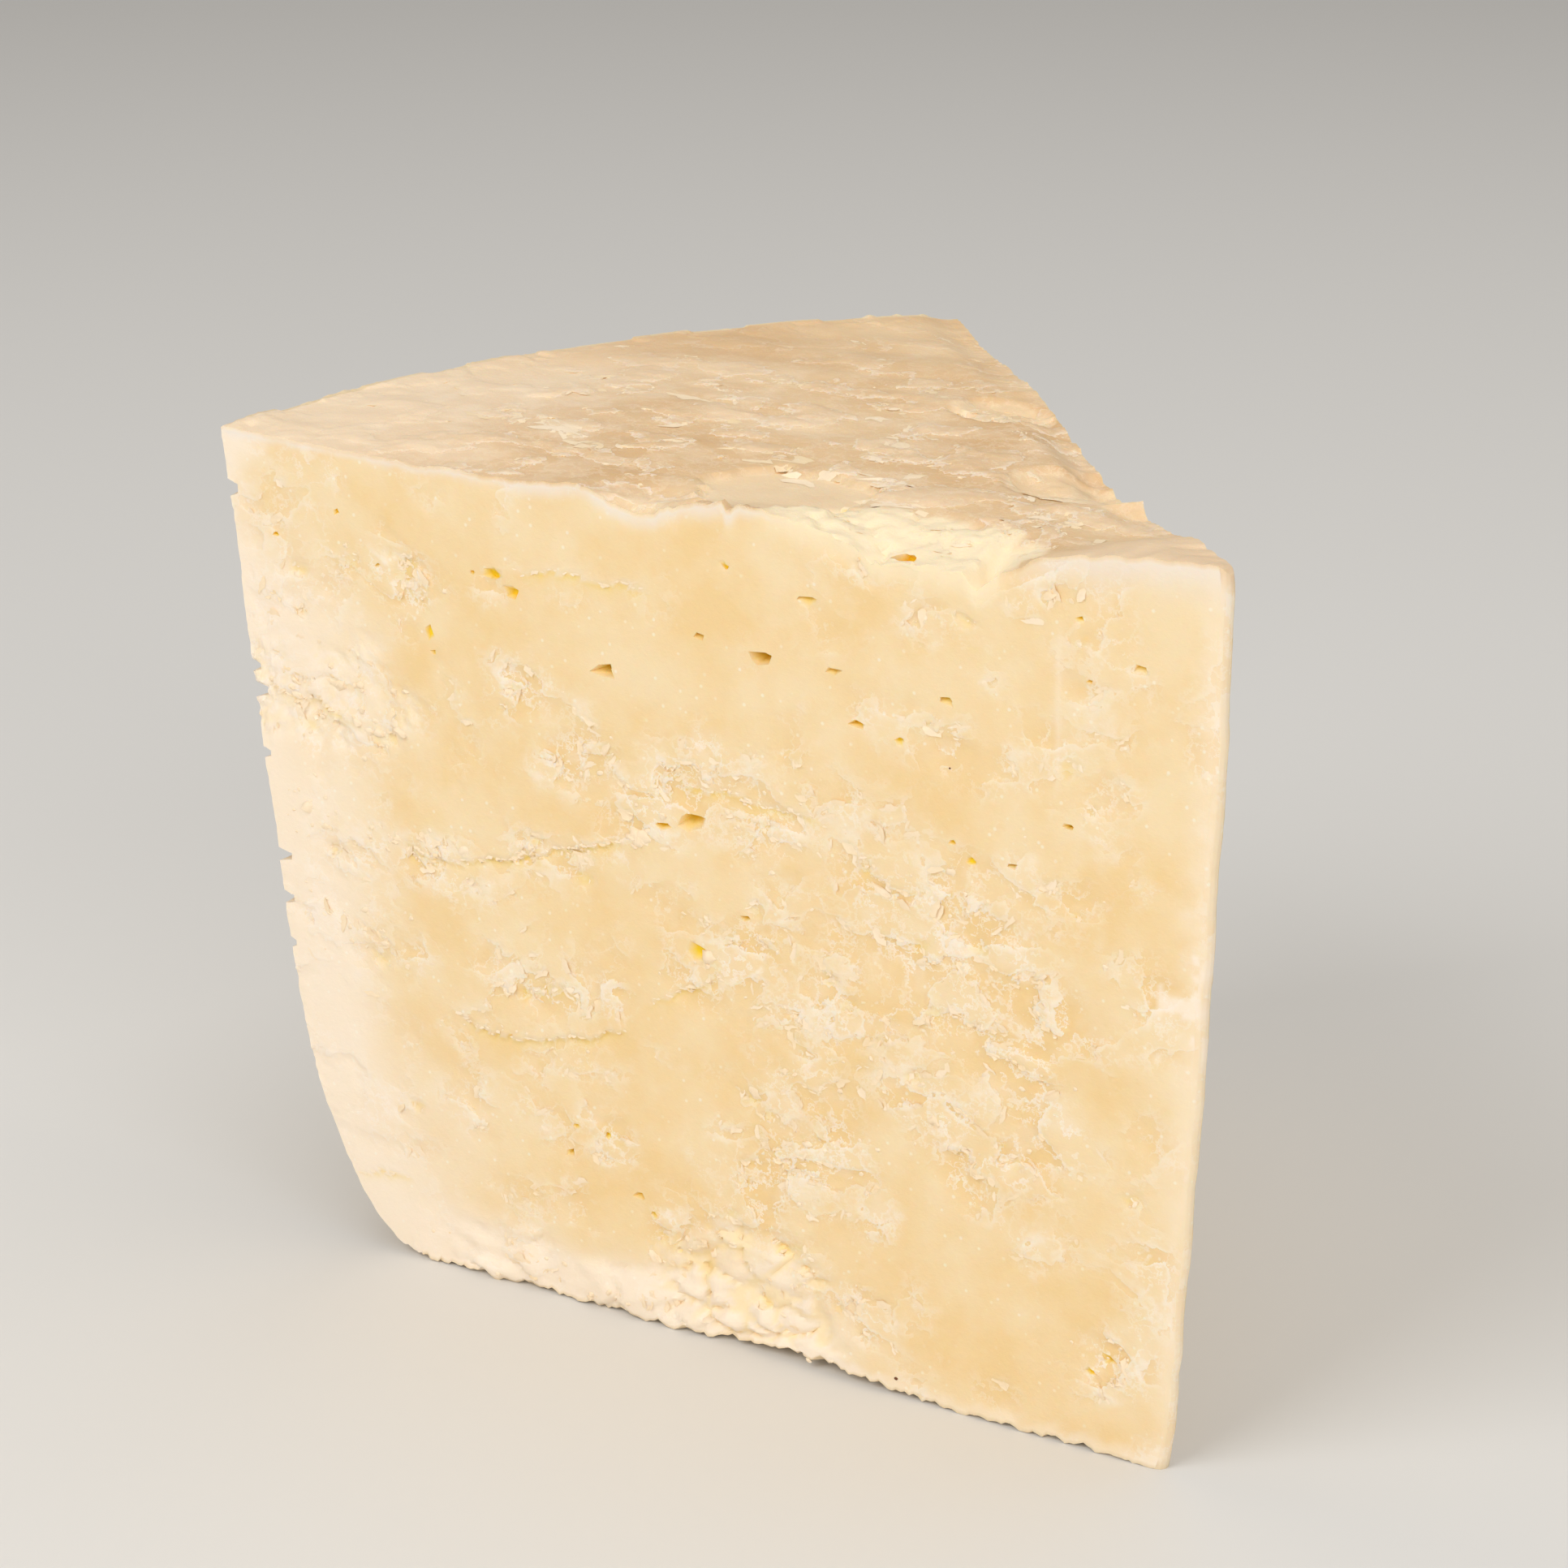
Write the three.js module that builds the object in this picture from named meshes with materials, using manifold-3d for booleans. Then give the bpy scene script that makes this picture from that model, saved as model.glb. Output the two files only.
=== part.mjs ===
// A chunk of hard, aged sheep's-milk cheese, in millimetres, +Z up.
// It is one wedge of a tall drum: a front and a back cut that meet in a blunt tip, the drum's rind,
// the flat end that it stands on with its rounded edge, and a rough split face on top.
// The solid starts as a unit block whose surface is refined, bent into the wedge and given its relief.
// Then the open eyes, seams and notches of the crumbly paste are cut out of it.
import * as THREE from "three";
import { mergeVertices } from "three/addons/utils/BufferGeometryUtils.js";
import Module from "manifold-3d";

// Driving dimensions. The foot of the tip is at x 0, y 0, and the front cut runs from it towards -X.
const WHEEL_RADIUS = 150; // from the drum's axis to the rind, at the top face
const WEDGE_ANGLE = THREE.MathUtils.degToRad(49);
const HEIGHT = 119.6; // from the foot to the top face
const TIP_REACH = 1.1; // the two cuts would meet this far past the foot of the blunt tip
const TIP_LEAN = 4.4; // how far the tip leans out over the height
const FRONT_LEAN = 1.8; // how far the front cut leans out over the height
const TIP_RADIUS = 2.6; // blunt nose between the two cuts
const DRUM_TAPER = 11.7; // radius lost from the top face down to the foot
const FOOT_ROUND_HEIGHT = 45; // the drum's rounded lower edge: an ellipse this high
const FOOT_ROUND_DEPTH = 18; // and this deep

// How coarse the surface is: the longest edge of a triangle on each kind of face.
const GRAIN = { cut: 7.8, torn: 3.6, back: 7.9, top: 5.7, rind: 10, foot: 18, rim: 4.4 };
const RIM_WIDTH = 4; // the band along the foot's edge that is refined for its chips

// Places on the front cut are given as tip, the distance from the tip's foot, and up, the height.
// Torn places, where the paste broke out in crumbs and flakes instead of being cut clean.
const TORN_PLACES = [
  { tip: 118, up: 103, halfWidth: 18, halfHeight: 5, depth: 0.9 },
  { tip: 129, up: 82, halfWidth: 15, halfHeight: 7, depth: 1.3 },
  { tip: 72, up: 80, halfWidth: 26, halfHeight: 9, depth: 0.9 },
  { tip: 113, up: 64, halfWidth: 10, halfHeight: 4, depth: 1.1 },
  { tip: 66, up: 57, halfWidth: 11, halfHeight: 9, depth: 1.2 },
  { tip: 35, up: 62, halfWidth: 21, halfHeight: 19, depth: 1.0 },
  { tip: 53, up: 35, halfWidth: 11, halfHeight: 12, depth: 1.1 },
  { tip: 24, up: 42, halfWidth: 13, halfHeight: 11, depth: 1.0 },
  { tip: 64, up: 10, halfWidth: 15, halfHeight: 11, depth: 3.2 },
  { tip: 9, up: 14, halfWidth: 7, halfHeight: 6, depth: 1.6 },
  { tip: 90, up: 26, halfWidth: 9, halfHeight: 5, depth: 0.9 },
];
const CRUMB_SIZE = 7; // spacing of the lumps in a torn place
const BACK_TORN_SHARE = 0.42; // share of the back cut that is torn, in patches of this size
const BACK_PATCH = 34;
const BACK_TEAR_DEPTH = 1.4;

// The top face: slow waves, a lump at the tip, a fresh break along the front edge and two chips.
const TOP_WAVE = { size: 42, height: 0.9 };
const TOP_RIPPLE = { size: 11, height: 0.45 };
const TIP_LUMP = { reach: 24, height: 3.6 };
const TIP_CORNER = { reach: 7, drop: 3.2 };
const TOP_BREAKS = [
  { tip: 41, back: 1, halfWidth: 19, halfDepth: 8, drop: 2.6 },
  { tip: 84, back: 0, halfWidth: 22, halfDepth: 5, drop: 1.6 },
  { tip: 33, back: 34, halfWidth: 11, halfDepth: 8, drop: 2.0 },
  { tip: 60, back: 63, halfWidth: 8, halfDepth: 6, drop: 1.3 },
];
const RIND_WAVE = { size: 30, height: 0.55 };
const CUT_WAVE = { size: 46, height: 0.35 };
const TIP_FADE = 14; // the cuts are true within this distance of the tip
const FOOT_CHIP = 1.7; // most that the foot's broken edge stands off the surface

// Open eyes of the paste on the front cut.
const EYES = [
  { tip: 60.3, up: 100.8, width: 3.4, height: 1.8 },
  { tip: 71.2, up: 76.2, width: 3.6, height: 1.9 },
  { tip: 84.3, up: 95.3, width: 2.8, height: 2.3 },
  { tip: 98.8, up: 103.7, width: 2.0, height: 1.7 },
  { tip: 101.8, up: 105.5, width: 2.4, height: 1.9 },
  { tip: 112.5, up: 95.4, width: 1.4, height: 2.6 },
  { tip: 53.2, up: 109.7, width: 2.5, height: 1.2 },
  { tip: 50.0, up: 100.8, width: 2.0, height: 1.2 },
  { tip: 33.3, up: 99.6, width: 3.0, height: 1.3 },
  { tip: 70.7, up: 58.2, width: 2.2, height: 2.0 },
  { tip: 63.0, up: 64.2, width: 2.0, height: 1.6 },
  { tip: 7.0, up: 108.4, width: 1.8, height: 1.2 },
  { tip: 45.8, up: 94.5, width: 2.4, height: 1.0 },
  { tip: 9.5, up: 13.5, width: 2.6, height: 1.9 },
  { tip: 79.5, up: 18.0, width: 2.0, height: 1.6 },
];
const EYE_DEPTH = 3.0;
const BACK_EYES = 14; // spread over the back cut by the seeded draw
const BACK_EYE_SIZE = { least: 1.8, most: 3.6 };

// Seams between the layers of the curd, each a thin slot from one end, through a bend, to the other.
const SEAMS = [
  { from: [119, 63.5], bend: [103, 63.0], to: [80, 71.5], width: 1.5, depth: 3.0 },
  { from: [111, 39.0], bend: [97, 37.5], to: [80, 44.8], width: 1.6, depth: 3.2 },
  { from: [80, 48.2], bend: [74, 50.0], to: [66, 55.5], width: 1.2, depth: 2.2 },
];
const SEAM_STEPS = 9;

// Notches where those layers meet the rind, on the front edge of the drum.
const NOTCHES = [
  { up: 111.2, depth: 1.9, height: 2.4 },
  { up: 85.8, depth: 1.3, height: 1.6 },
  { up: 82.4, depth: 2.2, height: 2.2 },
  { up: 73.2, depth: 1.2, height: 1.6 },
  { up: 58.2, depth: 2.6, height: 2.0 },
  { up: 51.8, depth: 1.9, height: 2.0 },
  { up: 45.0, depth: 1.1, height: 1.6 },
];
const NOTCH_LENGTH = 14; // along the rind, half of it past the front cut

const PASTE = { color: 0xf6dcae, roughness: 0.55, metalness: 0 };
const SEED = 20826;

// Seeded random numbers, and smooth noise of -1 to 1 whose lumps are as large as size.
let state = SEED;
function draw() {
  state = (Math.imul(state, 1664525) + 1013904223) >>> 0;
  return state / 2 ** 32;
}

function lattice(i, j, k) {
  let n = Math.imul(i, 374761393) ^ Math.imul(j, 668265263) ^ Math.imul(k, 1274126177) ^ SEED;
  n = Math.imul(n ^ (n >>> 13), 1103515245);
  return ((n ^ (n >>> 16)) >>> 0) / 2 ** 31 - 1;
}

function noise(point, size) {
  const cell = point.clone().divideScalar(size);
  const base = cell.clone().floor();
  const part = cell.sub(base);
  const ease = (w) => w * w * (3 - 2 * w);
  let sum = 0;
  for (let corner = 0; corner < 8; corner++) {
    const [i, j, k] = [corner & 1, (corner >> 1) & 1, corner >> 2];
    const weight =
      (i ? ease(part.x) : 1 - ease(part.x)) *
      (j ? ease(part.y) : 1 - ease(part.y)) *
      (k ? ease(part.z) : 1 - ease(part.z));
    sum += weight * lattice(base.x + i, base.y + j, base.z + k);
  }
  return sum;
}

// A dome of 1 at the middle of an ellipse that falls to 0 at its edge.
function dome(across, halfAcross, along, halfAlong) {
  const far = (across / halfAcross) ** 2 + (along / halfAlong) ** 2;
  return Math.max(0, 1 - far) ** 0.5;
}

// The wedge's plan at a height: the tip, the ways along the two cuts, and the drum's circle.
const AXIS = new THREE.Vector2(TIP_LEAN, -FRONT_LEAN);
const FRONT_WAY = new THREE.Vector2(-1, 0);
const BACK_WAY = new THREE.Vector2(-Math.cos(WEDGE_ANGLE), Math.sin(WEDGE_ANGLE));
const FRONT_NORMAL = new THREE.Vector3(0, -1, 0);
const BACK_NORMAL = new THREE.Vector3(Math.sin(WEDGE_ANGLE), Math.cos(WEDGE_ANGLE), 0);

function tipAt(z) {
  return AXIS.clone().multiplyScalar(z / HEIGHT).add(new THREE.Vector2(TIP_REACH, 0));
}

function drumRadius(z) {
  const into = Math.max(0, 1 - z / FOOT_ROUND_HEIGHT);
  const taper = DRUM_TAPER * (1 - z / HEIGHT);
  return WHEEL_RADIUS - taper - FOOT_ROUND_DEPTH * (1 - Math.sqrt(1 - into * into));
}

// The point where a cut meets the drum's circle.
function cutEnd(tip, way, radius) {
  const start = tip.clone().sub(AXIS);
  const along = start.dot(way);
  const reach = -along + Math.sqrt(along * along - start.lengthSq() + radius * radius);
  return tip.clone().addScaledVector(way, reach);
}

function noseCentre(tip) {
  const bisector = FRONT_WAY.clone().add(BACK_WAY).normalize();
  return tip.clone().addScaledVector(bisector, TIP_RADIUS / Math.sin(WEDGE_ANGLE / 2));
}

// The block's coordinates run from 0 to 1: out from the tip to the rind, across from the front cut
// to the back cut, and up from the foot to the top.
function noseNormal(across) {
  const turn = -Math.PI / 2 + across * (Math.PI - WEDGE_ANGLE);
  return new THREE.Vector2(Math.cos(turn), Math.sin(turn));
}

function wedgePoint({ x: out, y: across, z: up }) {
  const z = up * HEIGHT;
  const tip = tipAt(z);
  const nose = noseCentre(tip).addScaledVector(noseNormal(across), TIP_RADIUS);
  const radius = drumRadius(z);
  const first = cutEnd(tip, FRONT_WAY, radius).sub(AXIS).angle();
  const last = cutEnd(tip, BACK_WAY, radius).sub(AXIS).angle();
  const turn = first + (last - first) * across;
  const rind = new THREE.Vector2(Math.cos(turn), Math.sin(turn)).multiplyScalar(radius).add(AXIS);
  const place = nose.lerp(rind, out);
  return new THREE.Vector3(place.x, place.y, z);
}

// Relief of each face, in millimetres along its outward normal, or along +Z for the top and the foot.
function tornShare(tip, up) {
  return Math.max(
    ...TORN_PLACES.map((p) => p.depth * dome(tip - p.tip, p.halfWidth, up - p.up, p.halfHeight)),
  );
}

function crumble(point, depth) {
  const lump = noise(point, CRUMB_SIZE) + 0.5 * noise(point, CRUMB_SIZE / 2);
  return depth * (-0.55 + 1.1 * lump);
}

// The cuts run true to the blunt tip: their relief fades out towards it.
function clearOfTip(point) {
  const fromTip = Math.hypot(point.x - TIP_REACH - (TIP_LEAN * point.z) / HEIGHT, point.y);
  return THREE.MathUtils.smoothstep(fromTip, TIP_FADE / 4, TIP_FADE);
}

function frontRelief(point) {
  const wave = CUT_WAVE.height * noise(point, CUT_WAVE.size);
  return (wave + crumble(point, tornShare(-point.x, point.z))) * clearOfTip(point);
}

function backRelief(point) {
  const wave = CUT_WAVE.height * noise(point, CUT_WAVE.size);
  const patch = noise(point, BACK_PATCH) / 2 + BACK_TORN_SHARE;
  const share = THREE.MathUtils.smoothstep(patch, 0.45, 0.65);
  return (wave + crumble(point, BACK_TEAR_DEPTH * share)) * clearOfTip(point);
}

function rindRelief(point) {
  return RIND_WAVE.height * (noise(point, RIND_WAVE.size) + 0.5 * noise(point, RIND_WAVE.size / 3));
}

function topRelief(point) {
  const fromTip = Math.hypot(point.x - AXIS.x, point.y - AXIS.y);
  let height = TOP_WAVE.height * noise(point, TOP_WAVE.size);
  height += TOP_RIPPLE.height * noise(point, TOP_RIPPLE.size);
  height += TIP_LUMP.height * (1 - THREE.MathUtils.smoothstep(fromTip, TIP_LUMP.reach / 2, TIP_LUMP.reach));
  height -= TIP_CORNER.drop * (1 - THREE.MathUtils.smoothstep(fromTip, 0, TIP_CORNER.reach));
  for (const b of TOP_BREAKS) {
    const share = dome(-point.x - b.tip, b.halfWidth, point.y - b.back, b.halfDepth);
    height -= b.drop * share * (0.8 + 0.5 * noise(point, CRUMB_SIZE));
  }
  return height;
}

function footRelief(point) {
  return FOOT_CHIP * Math.max(0, 0.45 + 0.75 * noise(point, CRUMB_SIZE));
}

// A point of the block's surface as it lies on the finished wedge.
const TOP_BLEND = 0.88; // the top's relief fades out below this share of the height
const FOOT_BLEND = 0.03;

function isRim(at) {
  return at.x === 0 || at.x === 1 || at.y === 0 || at.y === 1;
}

function reliefPoint(at) {
  const point = wedgePoint(at);
  const moved = point.clone();
  if (at.y === 0) moved.addScaledVector(FRONT_NORMAL, frontRelief(point));
  if (at.y === 1) moved.addScaledVector(BACK_NORMAL, backRelief(point));
  if (at.x === 1) {
    const normal = new THREE.Vector3(point.x - AXIS.x, point.y - AXIS.y, 0).normalize();
    moved.addScaledVector(normal, rindRelief(point));
  }
  const nearTop = Math.max(0, (at.z - TOP_BLEND) / (1 - TOP_BLEND));
  moved.z += nearTop * topRelief(point);
  const nearFoot = Math.max(0, 1 - at.z / FOOT_BLEND);
  if (isRim(at)) moved.z += nearFoot * footRelief(point);
  return moved;
}

// The longest edge allowed at a place of the block's surface. It grows slowly away from a fine place.
function fromTorn(tip, up) {
  return Math.min(
    ...TORN_PLACES.map((p) => {
      const far = Math.hypot((tip - p.tip) / p.halfWidth, (up - p.up) / p.halfHeight) - 1;
      return Math.max(0, far) * Math.min(p.halfWidth, p.halfHeight);
    }),
  );
}

function fromRim(at, point) {
  const fromTip = Math.hypot(point.x, point.y);
  const fromCuts = Math.min(at.y, 1 - at.y) * fromTip;
  return Math.max(0, Math.min(fromCuts, drumRadius(0) - fromTip, fromTip) - RIM_WIDTH);
}

function grainAt(at, point) {
  if (at.z === 0) return Math.min(GRAIN.foot, GRAIN.rim + fromRim(at, point) / 2);
  if (at.y === 0) return Math.min(GRAIN.cut, GRAIN.torn + fromTorn(-point.x, point.z) / 2);
  if (at.z === 1) return GRAIN.top;
  if (at.y === 1) return GRAIN.back;
  return GRAIN.rind;
}

// Splits the block's faces until no edge is longer than its place allows. An edge is always split at
// its middle, whichever face it is seen from, so the surface stays closed.
function refinedBlock() {
  const cube = new THREE.BoxGeometry(1, 1, 1).translate(0.5, 0.5, 0.5).toNonIndexed();
  const corners = cube.getAttribute("position");
  const waiting = [];
  for (let i = 0; i < corners.count; i += 3) {
    waiting.push([0, 1, 2].map((k) => new THREE.Vector3().fromBufferAttribute(corners, i + k)));
  }
  const done = [];
  while (waiting.length) {
    const face = waiting.pop();
    let longest = 0;
    let split = -1;
    face.forEach((a, k) => {
      const b = face[(k + 1) % 3];
      const middle = a.clone().lerp(b, 0.5);
      const length = wedgePoint(a).distanceTo(wedgePoint(b));
      if (length > longest && length > grainAt(middle, wedgePoint(middle))) {
        longest = length;
        split = k;
      }
    });
    if (split < 0) {
      done.push(face);
      continue;
    }
    const [a, b, c] = [0, 1, 2].map((k) => face[(split + k) % 3]);
    const middle = a.clone().lerp(b, 0.5);
    waiting.push([a, middle, c], [middle, b, c]);
  }
  return done;
}

// The bend turns the block inside out, so each face is taken the other way round.
function wedgeGeometry() {
  const points = refinedBlock().flatMap(([a, b, c]) => [a, c, b].map(reliefPoint));
  return new THREE.BufferGeometry().setFromPoints(points);
}

// A closed geometry as a solid that can be cut, and a solid back as a geometry.
const wasm = await Module();
wasm.setup();

function solidOf(geometry) {
  const bare = new THREE.BufferGeometry();
  bare.setAttribute("position", geometry.getAttribute("position"));
  if (geometry.index) bare.setIndex(geometry.index);
  const merged = mergeVertices(bare, 1e-4);
  return new wasm.Manifold(
    new wasm.Mesh({
      numProp: 3,
      vertProperties: new Float32Array(merged.getAttribute("position").array),
      triVerts: new Uint32Array(merged.index.array),
    }),
  );
}

function geometryOf(solid) {
  const mesh = solid.getMesh();
  const geometry = new THREE.BufferGeometry();
  geometry.setAttribute("position", new THREE.BufferAttribute(mesh.vertProperties, 3));
  geometry.setIndex(new THREE.BufferAttribute(mesh.triVerts, 1));
  return geometry;
}

// The hollow of an eye: a small faceted ball, squashed and turned by the seeded draw.
function eyeHollow(centre, width, height, faceTurn) {
  const hollow = new THREE.IcosahedronGeometry(0.5, 0);
  hollow.rotateY(draw() * Math.PI).rotateX(draw() * Math.PI);
  hollow.scale(width, 2 * EYE_DEPTH, height);
  return hollow.rotateZ(faceTurn).translate(centre.x, centre.y, centre.z);
}

function frontPoint(tip, up) {
  return new THREE.Vector3(-tip, (-FRONT_LEAN * up) / HEIGHT, up);
}

function frontEyes() {
  return EYES.map((eye) => eyeHollow(frontPoint(eye.tip, eye.up), eye.width, eye.height, 0));
}

function backEyes() {
  return Array.from({ length: BACK_EYES }, () => {
    const out = 0.12 + 0.78 * draw();
    const up = 0.12 + 0.76 * draw();
    const size = THREE.MathUtils.lerp(BACK_EYE_SIZE.least, BACK_EYE_SIZE.most, draw());
    const centre = wedgePoint(new THREE.Vector3(out, 1, up));
    return eyeHollow(centre, size, size * (0.4 + 0.4 * draw()), -WEDGE_ANGLE);
  });
}

// The hollow of a seam: a thin lens along its line on the front cut, pushed straight into the paste.
function seamHollow({ from, bend, to, width, depth }) {
  const ends = [from, bend, to].map(([tip, up]) => new THREE.Vector2(-tip, up));
  const line = new THREE.SplineCurve(ends).getPoints(SEAM_STEPS);
  const share = (i) => Math.sin((Math.PI * (i + 0.35)) / (SEAM_STEPS + 0.7));
  const waver = (i) => 0.35 * width * noise(new THREE.Vector3(line[i].x, 0, line[i].y), 6);
  const lip = (side) =>
    line.map((p, i) => new THREE.Vector2(p.x, p.y + waver(i) + (side * share(i) * width) / 2));
  const outline = new THREE.Shape([...lip(-1), ...lip(1).reverse()]);
  const hollow = new THREE.ExtrudeGeometry(outline, { depth: 2 * depth, bevelEnabled: false });
  return hollow.rotateX(Math.PI / 2).translate(0, depth - FRONT_LEAN * (ends[1].y / HEIGHT), 0);
}

// The hollow of a notch: a flat double pyramid across the front edge of the drum.
function notchHollow({ up, depth, height }) {
  const edge = wedgePoint(new THREE.Vector3(1, 0, up / HEIGHT));
  const hollow = new THREE.OctahedronGeometry(1, 0);
  hollow.scale(depth, NOTCH_LENGTH / 2, height / 2);
  return hollow.translate(edge.x, edge.y, up);
}

function carve(block) {
  const hollows = [...frontEyes(), ...backEyes(), ...SEAMS.map(seamHollow), ...NOTCHES.map(notchHollow)];
  const carved = hollows.reduce((solid, hollow) => solid.subtract(solidOf(hollow)), block);
  return carved.decompose().sort((a, b) => b.volume() - a.volume())[0];
}

// The finished chunk stands on z 0, with the middle of its plan at the origin.
function chunkGeometry() {
  const geometry = geometryOf(carve(solidOf(wedgeGeometry())));
  geometry.computeBoundingBox();
  const { min, max } = geometry.boundingBox;
  return geometry.translate(-(min.x + max.x) / 2, -(min.y + max.y) / 2, -min.z);
}

const chunk = new THREE.Mesh(chunkGeometry(), new THREE.MeshStandardMaterial(PASTE));
chunk.name = "cheese_chunk";

const cheese = new THREE.Group();
cheese.add(chunk);

export default cheese;
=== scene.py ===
import math
import random

import bpy
from mathutils import Matrix, Vector, noise


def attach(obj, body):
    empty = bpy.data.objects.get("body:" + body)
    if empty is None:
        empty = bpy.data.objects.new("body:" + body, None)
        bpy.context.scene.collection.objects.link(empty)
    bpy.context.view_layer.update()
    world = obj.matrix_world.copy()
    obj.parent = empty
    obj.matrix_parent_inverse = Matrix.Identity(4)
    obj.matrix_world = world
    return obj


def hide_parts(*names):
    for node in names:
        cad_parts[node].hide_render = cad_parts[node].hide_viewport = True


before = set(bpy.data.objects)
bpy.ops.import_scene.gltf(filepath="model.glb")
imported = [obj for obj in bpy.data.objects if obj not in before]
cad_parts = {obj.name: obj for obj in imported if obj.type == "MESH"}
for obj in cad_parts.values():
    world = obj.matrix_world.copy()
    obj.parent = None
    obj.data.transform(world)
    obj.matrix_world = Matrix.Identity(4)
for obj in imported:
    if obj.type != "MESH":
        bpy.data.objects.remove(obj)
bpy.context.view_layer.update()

# The chunk
# A wedge of hard sheep's-milk cheese, split and knifed out of a tall drum of pressed, salted curd.
# It is worked here in millimetres, with the foot of its tip at x 0, y 0 and the front cut along -X,
# and goes to its place in the frame when it is finished.
TIP_IN_FRAME = Vector((71.87, -54.80, 0))
WHEEL_RADIUS = 150.6
WHEEL_AXIS = Vector((4.4, -1.8, 0))
HEIGHT = 119.6
DRUM_TAPER = 11.7
FOOT_ROUND_HEIGHT = 45.0
FOOT_ROUND_DEPTH = 18.0
WEDGE_ANGLE = math.radians(49)
TIP_REACH = 1.4
TIP_LEAN = 4.4
FRONT_LEAN = 1.8
TIP_BEVEL = 4.0
TIP_BULGE = 1.2
GRID = 10.8
SAME_WAY = 0.99
MM = 0.001
TO_FRAME = Matrix.Scale(MM, 4) @ Matrix.Translation(TIP_IN_FRAME)


def pick_vertices(mesh, wanted):
    """Selects, in edit mode, the vertices that wanted says yes to."""
    bpy.ops.mesh.select_all(action="DESELECT")
    bpy.ops.object.mode_set(mode="OBJECT")
    for vertex in mesh.vertices:
        vertex.select = wanted(vertex.co)
    bpy.ops.object.mode_set(mode="EDIT")


def pick_faces(mesh, wanted):
    """Selects, in edit mode, the faces that wanted says yes to by their normal."""
    bpy.ops.mesh.select_all(action="DESELECT")
    bpy.ops.object.mode_set(mode="OBJECT")
    for face in mesh.polygons:
        face.select = wanted(face.normal)
    bpy.ops.object.mode_set(mode="EDIT")


# The drum, tapered down to its foot, with the foot's edge rounded as an ellipse: it is squashed while
# the bevel is made and drawn out again.
bpy.ops.object.select_all(action="DESELECT")
bpy.ops.mesh.primitive_cylinder_add(
    vertices=120, radius=WHEEL_RADIUS, depth=HEIGHT, location=WHEEL_AXIS + Vector((0, 0, HEIGHT / 2))
)
chunk = bpy.context.active_object
chunk.name = "cheese_body"
bpy.ops.object.transform_apply(location=True, rotation=True, scale=True)
bpy.ops.object.mode_set(mode="EDIT")
bpy.ops.mesh.select_mode(type="VERT")
pick_vertices(chunk.data, lambda co: co.z < 1)
narrow = 1 - DRUM_TAPER / WHEEL_RADIUS
bpy.ops.transform.resize(value=(narrow, narrow, 1), center_override=WHEEL_AXIS)
squash = FOOT_ROUND_DEPTH / FOOT_ROUND_HEIGHT
bpy.ops.mesh.select_all(action="SELECT")
bpy.ops.transform.resize(value=(1, 1, squash), center_override=(0, 0, 0))
pick_vertices(chunk.data, lambda co: co.z < 1)
bpy.ops.mesh.bevel(offset=FOOT_ROUND_DEPTH, segments=10, profile=0.5, affect="EDGES")
bpy.ops.mesh.select_all(action="SELECT")
bpy.ops.transform.resize(value=(1, 1, 1 / squash), center_override=(0, 0, 0))

# The front and back cuts, and the blunt tip where they meet.
tip_foot = Vector((TIP_REACH, 0, 0))
tip_way = Vector((TIP_LEAN, -FRONT_LEAN, HEIGHT))
back_way = Vector((-math.cos(WEDGE_ANGLE), math.sin(WEDGE_ANGLE), 0))
front_normal = tip_way.cross(Vector((-1, 0, 0))).normalized()
back_normal = back_way.cross(tip_way).normalized()
top_normal = Vector((0, 0, 1))
for cut_normal in (front_normal, back_normal):
    bpy.ops.mesh.select_all(action="SELECT")
    bpy.ops.mesh.bisect(plane_co=tip_foot, plane_no=cut_normal, use_fill=True, clear_outer=True)
pick_vertices(chunk.data, lambda co: (co - tip_foot - tip_way * (co.z / HEIGHT)).length < 0.5)
bpy.ops.mesh.bevel(offset=TIP_BEVEL, segments=6, profile=0.5, affect="EDGES")

# An even net of small faces for the relief: cuts square to X and Z through the whole chunk, and square
# to Y through its top and foot. Its triangles are finest on the front cut and the top.
NET_CUTS = (
    (Vector((1, 0, 0)), -150, 10),
    (Vector((0, 0, 1)), 0, HEIGHT),
    (Vector((0, 1, 0)), 0, 110),
)
for across, low, high in NET_CUTS:
    count = round((high - low) / GRID)
    for k in range(1, count):
        bpy.ops.mesh.select_all(action="SELECT")
        if across.y:
            pick_faces(chunk.data, lambda normal: abs(normal.z) > 0.9)
        bpy.ops.mesh.bisect(plane_co=across * (low + (high - low) * k / count), plane_no=across)
bpy.ops.mesh.select_mode(type="FACE")
bpy.ops.mesh.select_all(action="SELECT")
bpy.ops.mesh.quads_convert_to_tris(quad_method="BEAUTY", ngon_method="BEAUTY")
pick_faces(chunk.data, lambda normal: normal.z > -SAME_WAY)
bpy.ops.mesh.subdivide(number_cuts=3)
bpy.ops.mesh.quads_convert_to_tris(quad_method="BEAUTY", ngon_method="BEAUTY")
for finer in ((front_normal, back_normal, top_normal), (front_normal, top_normal)):
    pick_faces(chunk.data, lambda normal: max(normal.dot(way) for way in finer) > SAME_WAY)
    bpy.ops.mesh.subdivide(number_cuts=1)
bpy.ops.mesh.select_all(action="SELECT")
bpy.ops.mesh.quads_convert_to_tris(quad_method="BEAUTY", ngon_method="BEAUTY")
bpy.ops.object.mode_set(mode="OBJECT")

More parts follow.
